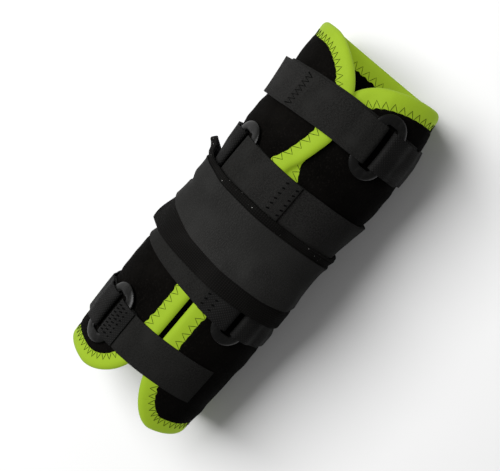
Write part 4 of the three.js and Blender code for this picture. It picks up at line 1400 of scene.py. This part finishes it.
class BRACE_OT_elbow(bpy.types.Operator):
    """Elbow pad with its loose curled end, and the elastic band stretched over it"""

    bl_idname = "brace.elbow"
    bl_label = "Elbow pad and band"

    def execute(self, context):
        colours = context.scene.brace_colours
        rest = PadRest()
        self.pad(colours, rest)
        self.band(colours, rest)
        return {"FINISHED"}

    @staticmethod
    def pad(colours, rest):
        first, last = (around_at(angle) for angle in PAD_ANGLES)
        width = PAD_UPPER_EDGE + PAD_LOWER_EDGE
        piece = flat_cloth("knitted_elbow_pad", 120, 40, width, last - first)
        horn_shares = []

        def place(across, along):
            around = first + (last - first) * along
            pad_low, _, _, pad_high = elbow_edges(around)
            near_end = 1 - smoothstep(around, first, first + PAD_CORNER)
            around = around + np.clip(1 - 2 * across, 0, 1) ** 3 * near_end * PAD_CORNER_DRAW
            x = pad_low + (pad_high - pad_low) * across
            at_end = 1 - smoothstep(along, *PAD_HORN_ALONG)
            horn_shares.append(smoothstep(across, *PAD_HORN_ACROSS) * at_end)
            return over_slit(x, around, pad_underside(rest, x, around) + PAD_THICKNESS / 2)

        lay(piece, place)
        walls = PAD_THICKNESS + (PAD_HORN_THICKNESS - PAD_THICKNESS) * horn_shares[0]
        weigh_wall(piece, walls / PAD_HORN_THICKNESS)
        thicken(
            piece, PAD_HORN_THICKNESS, edge=PAD_ROUND, edge_steps=5, vertex_group="wall",
            thickness_vertex_group=0.0,
        )
        hand_over(piece, knit_cloth("pad_knit_cloth", colours.pad, colours.lint), "pad_cloth", ["elbow_pad"])

    @staticmethod
    def band(colours, rest):
        first, last = (around_at(angle) for angle in BAND_ANGLES)
        piece = flat_cloth("ribbed_elbow_band", 140, 26, BAND_WIDTH, last - first)
        pad_end = around_at(PAD_ANGLES[0])

        def place(across, along):
            around = first + (last - first) * along
            _, band_low, band_high, _ = elbow_edges(around)
            x = band_low + (band_high - band_low) * across
            on_pad = smoothstep(around, pad_end - BAND_RUN_UP, pad_end)
            pad_top = pad_underside(rest, x, around) + PAD_THICKNESS + LAYER_GAP
            low = LAYER_GAP + (pad_top - LAYER_GAP) * on_pad
            return over_slit(x, around, low + BAND_THICKNESS / 2)

        lay(piece, place)
        thicken(piece, BAND_THICKNESS, edge=CLOTH_EDGE)
        hand_over(piece, ribbed_elastic("band_ribbed_elastic", colours.band), "band_elastic", ["elbow_band"])


class BRACE_PT_panel(bpy.types.Panel):
    bl_label = "Elbow brace"
    bl_idname = "BRACE_PT_panel"
    bl_space_type = "VIEW_3D"
    bl_region_type = "UI"
    bl_category = "Elbow brace"

    def draw(self, context):
        for operator in OPERATORS:
            self.layout.operator(operator.bl_idname)
        for group in (context.scene.brace_sizes, context.scene.brace_colours):
            box = self.layout.box()
            for name in group.bl_rna.properties.keys():
                if name not in ("rna_type", "name"):
                    box.prop(group, name)


OPERATORS = (
    BRACE_OT_stage, BRACE_OT_sleeve, BRACE_OT_binding, BRACE_OT_rings, BRACE_OT_straps, BRACE_OT_elbow,
)
CLASSES = (BraceSizes, BraceColours, *OPERATORS, BRACE_PT_panel)


def register():
    for cls in CLASSES:
        bpy.utils.register_class(cls)
    bpy.types.Scene.brace_sizes = PointerProperty(type=BraceSizes)
    bpy.types.Scene.brace_colours = PointerProperty(type=BraceColours)


def unregister():
    del bpy.types.Scene.brace_colours
    del bpy.types.Scene.brace_sizes
    for cls in reversed(CLASSES):
        bpy.utils.unregister_class(cls)


def main():
    register()
    bpy.ops.brace.stage()
    bpy.ops.brace.sleeve()
    bpy.ops.brace.binding()
    bpy.ops.brace.rings()
    bpy.ops.brace.straps()
    bpy.ops.brace.elbow()
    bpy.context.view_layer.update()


if __name__ == "__main__":
    main()
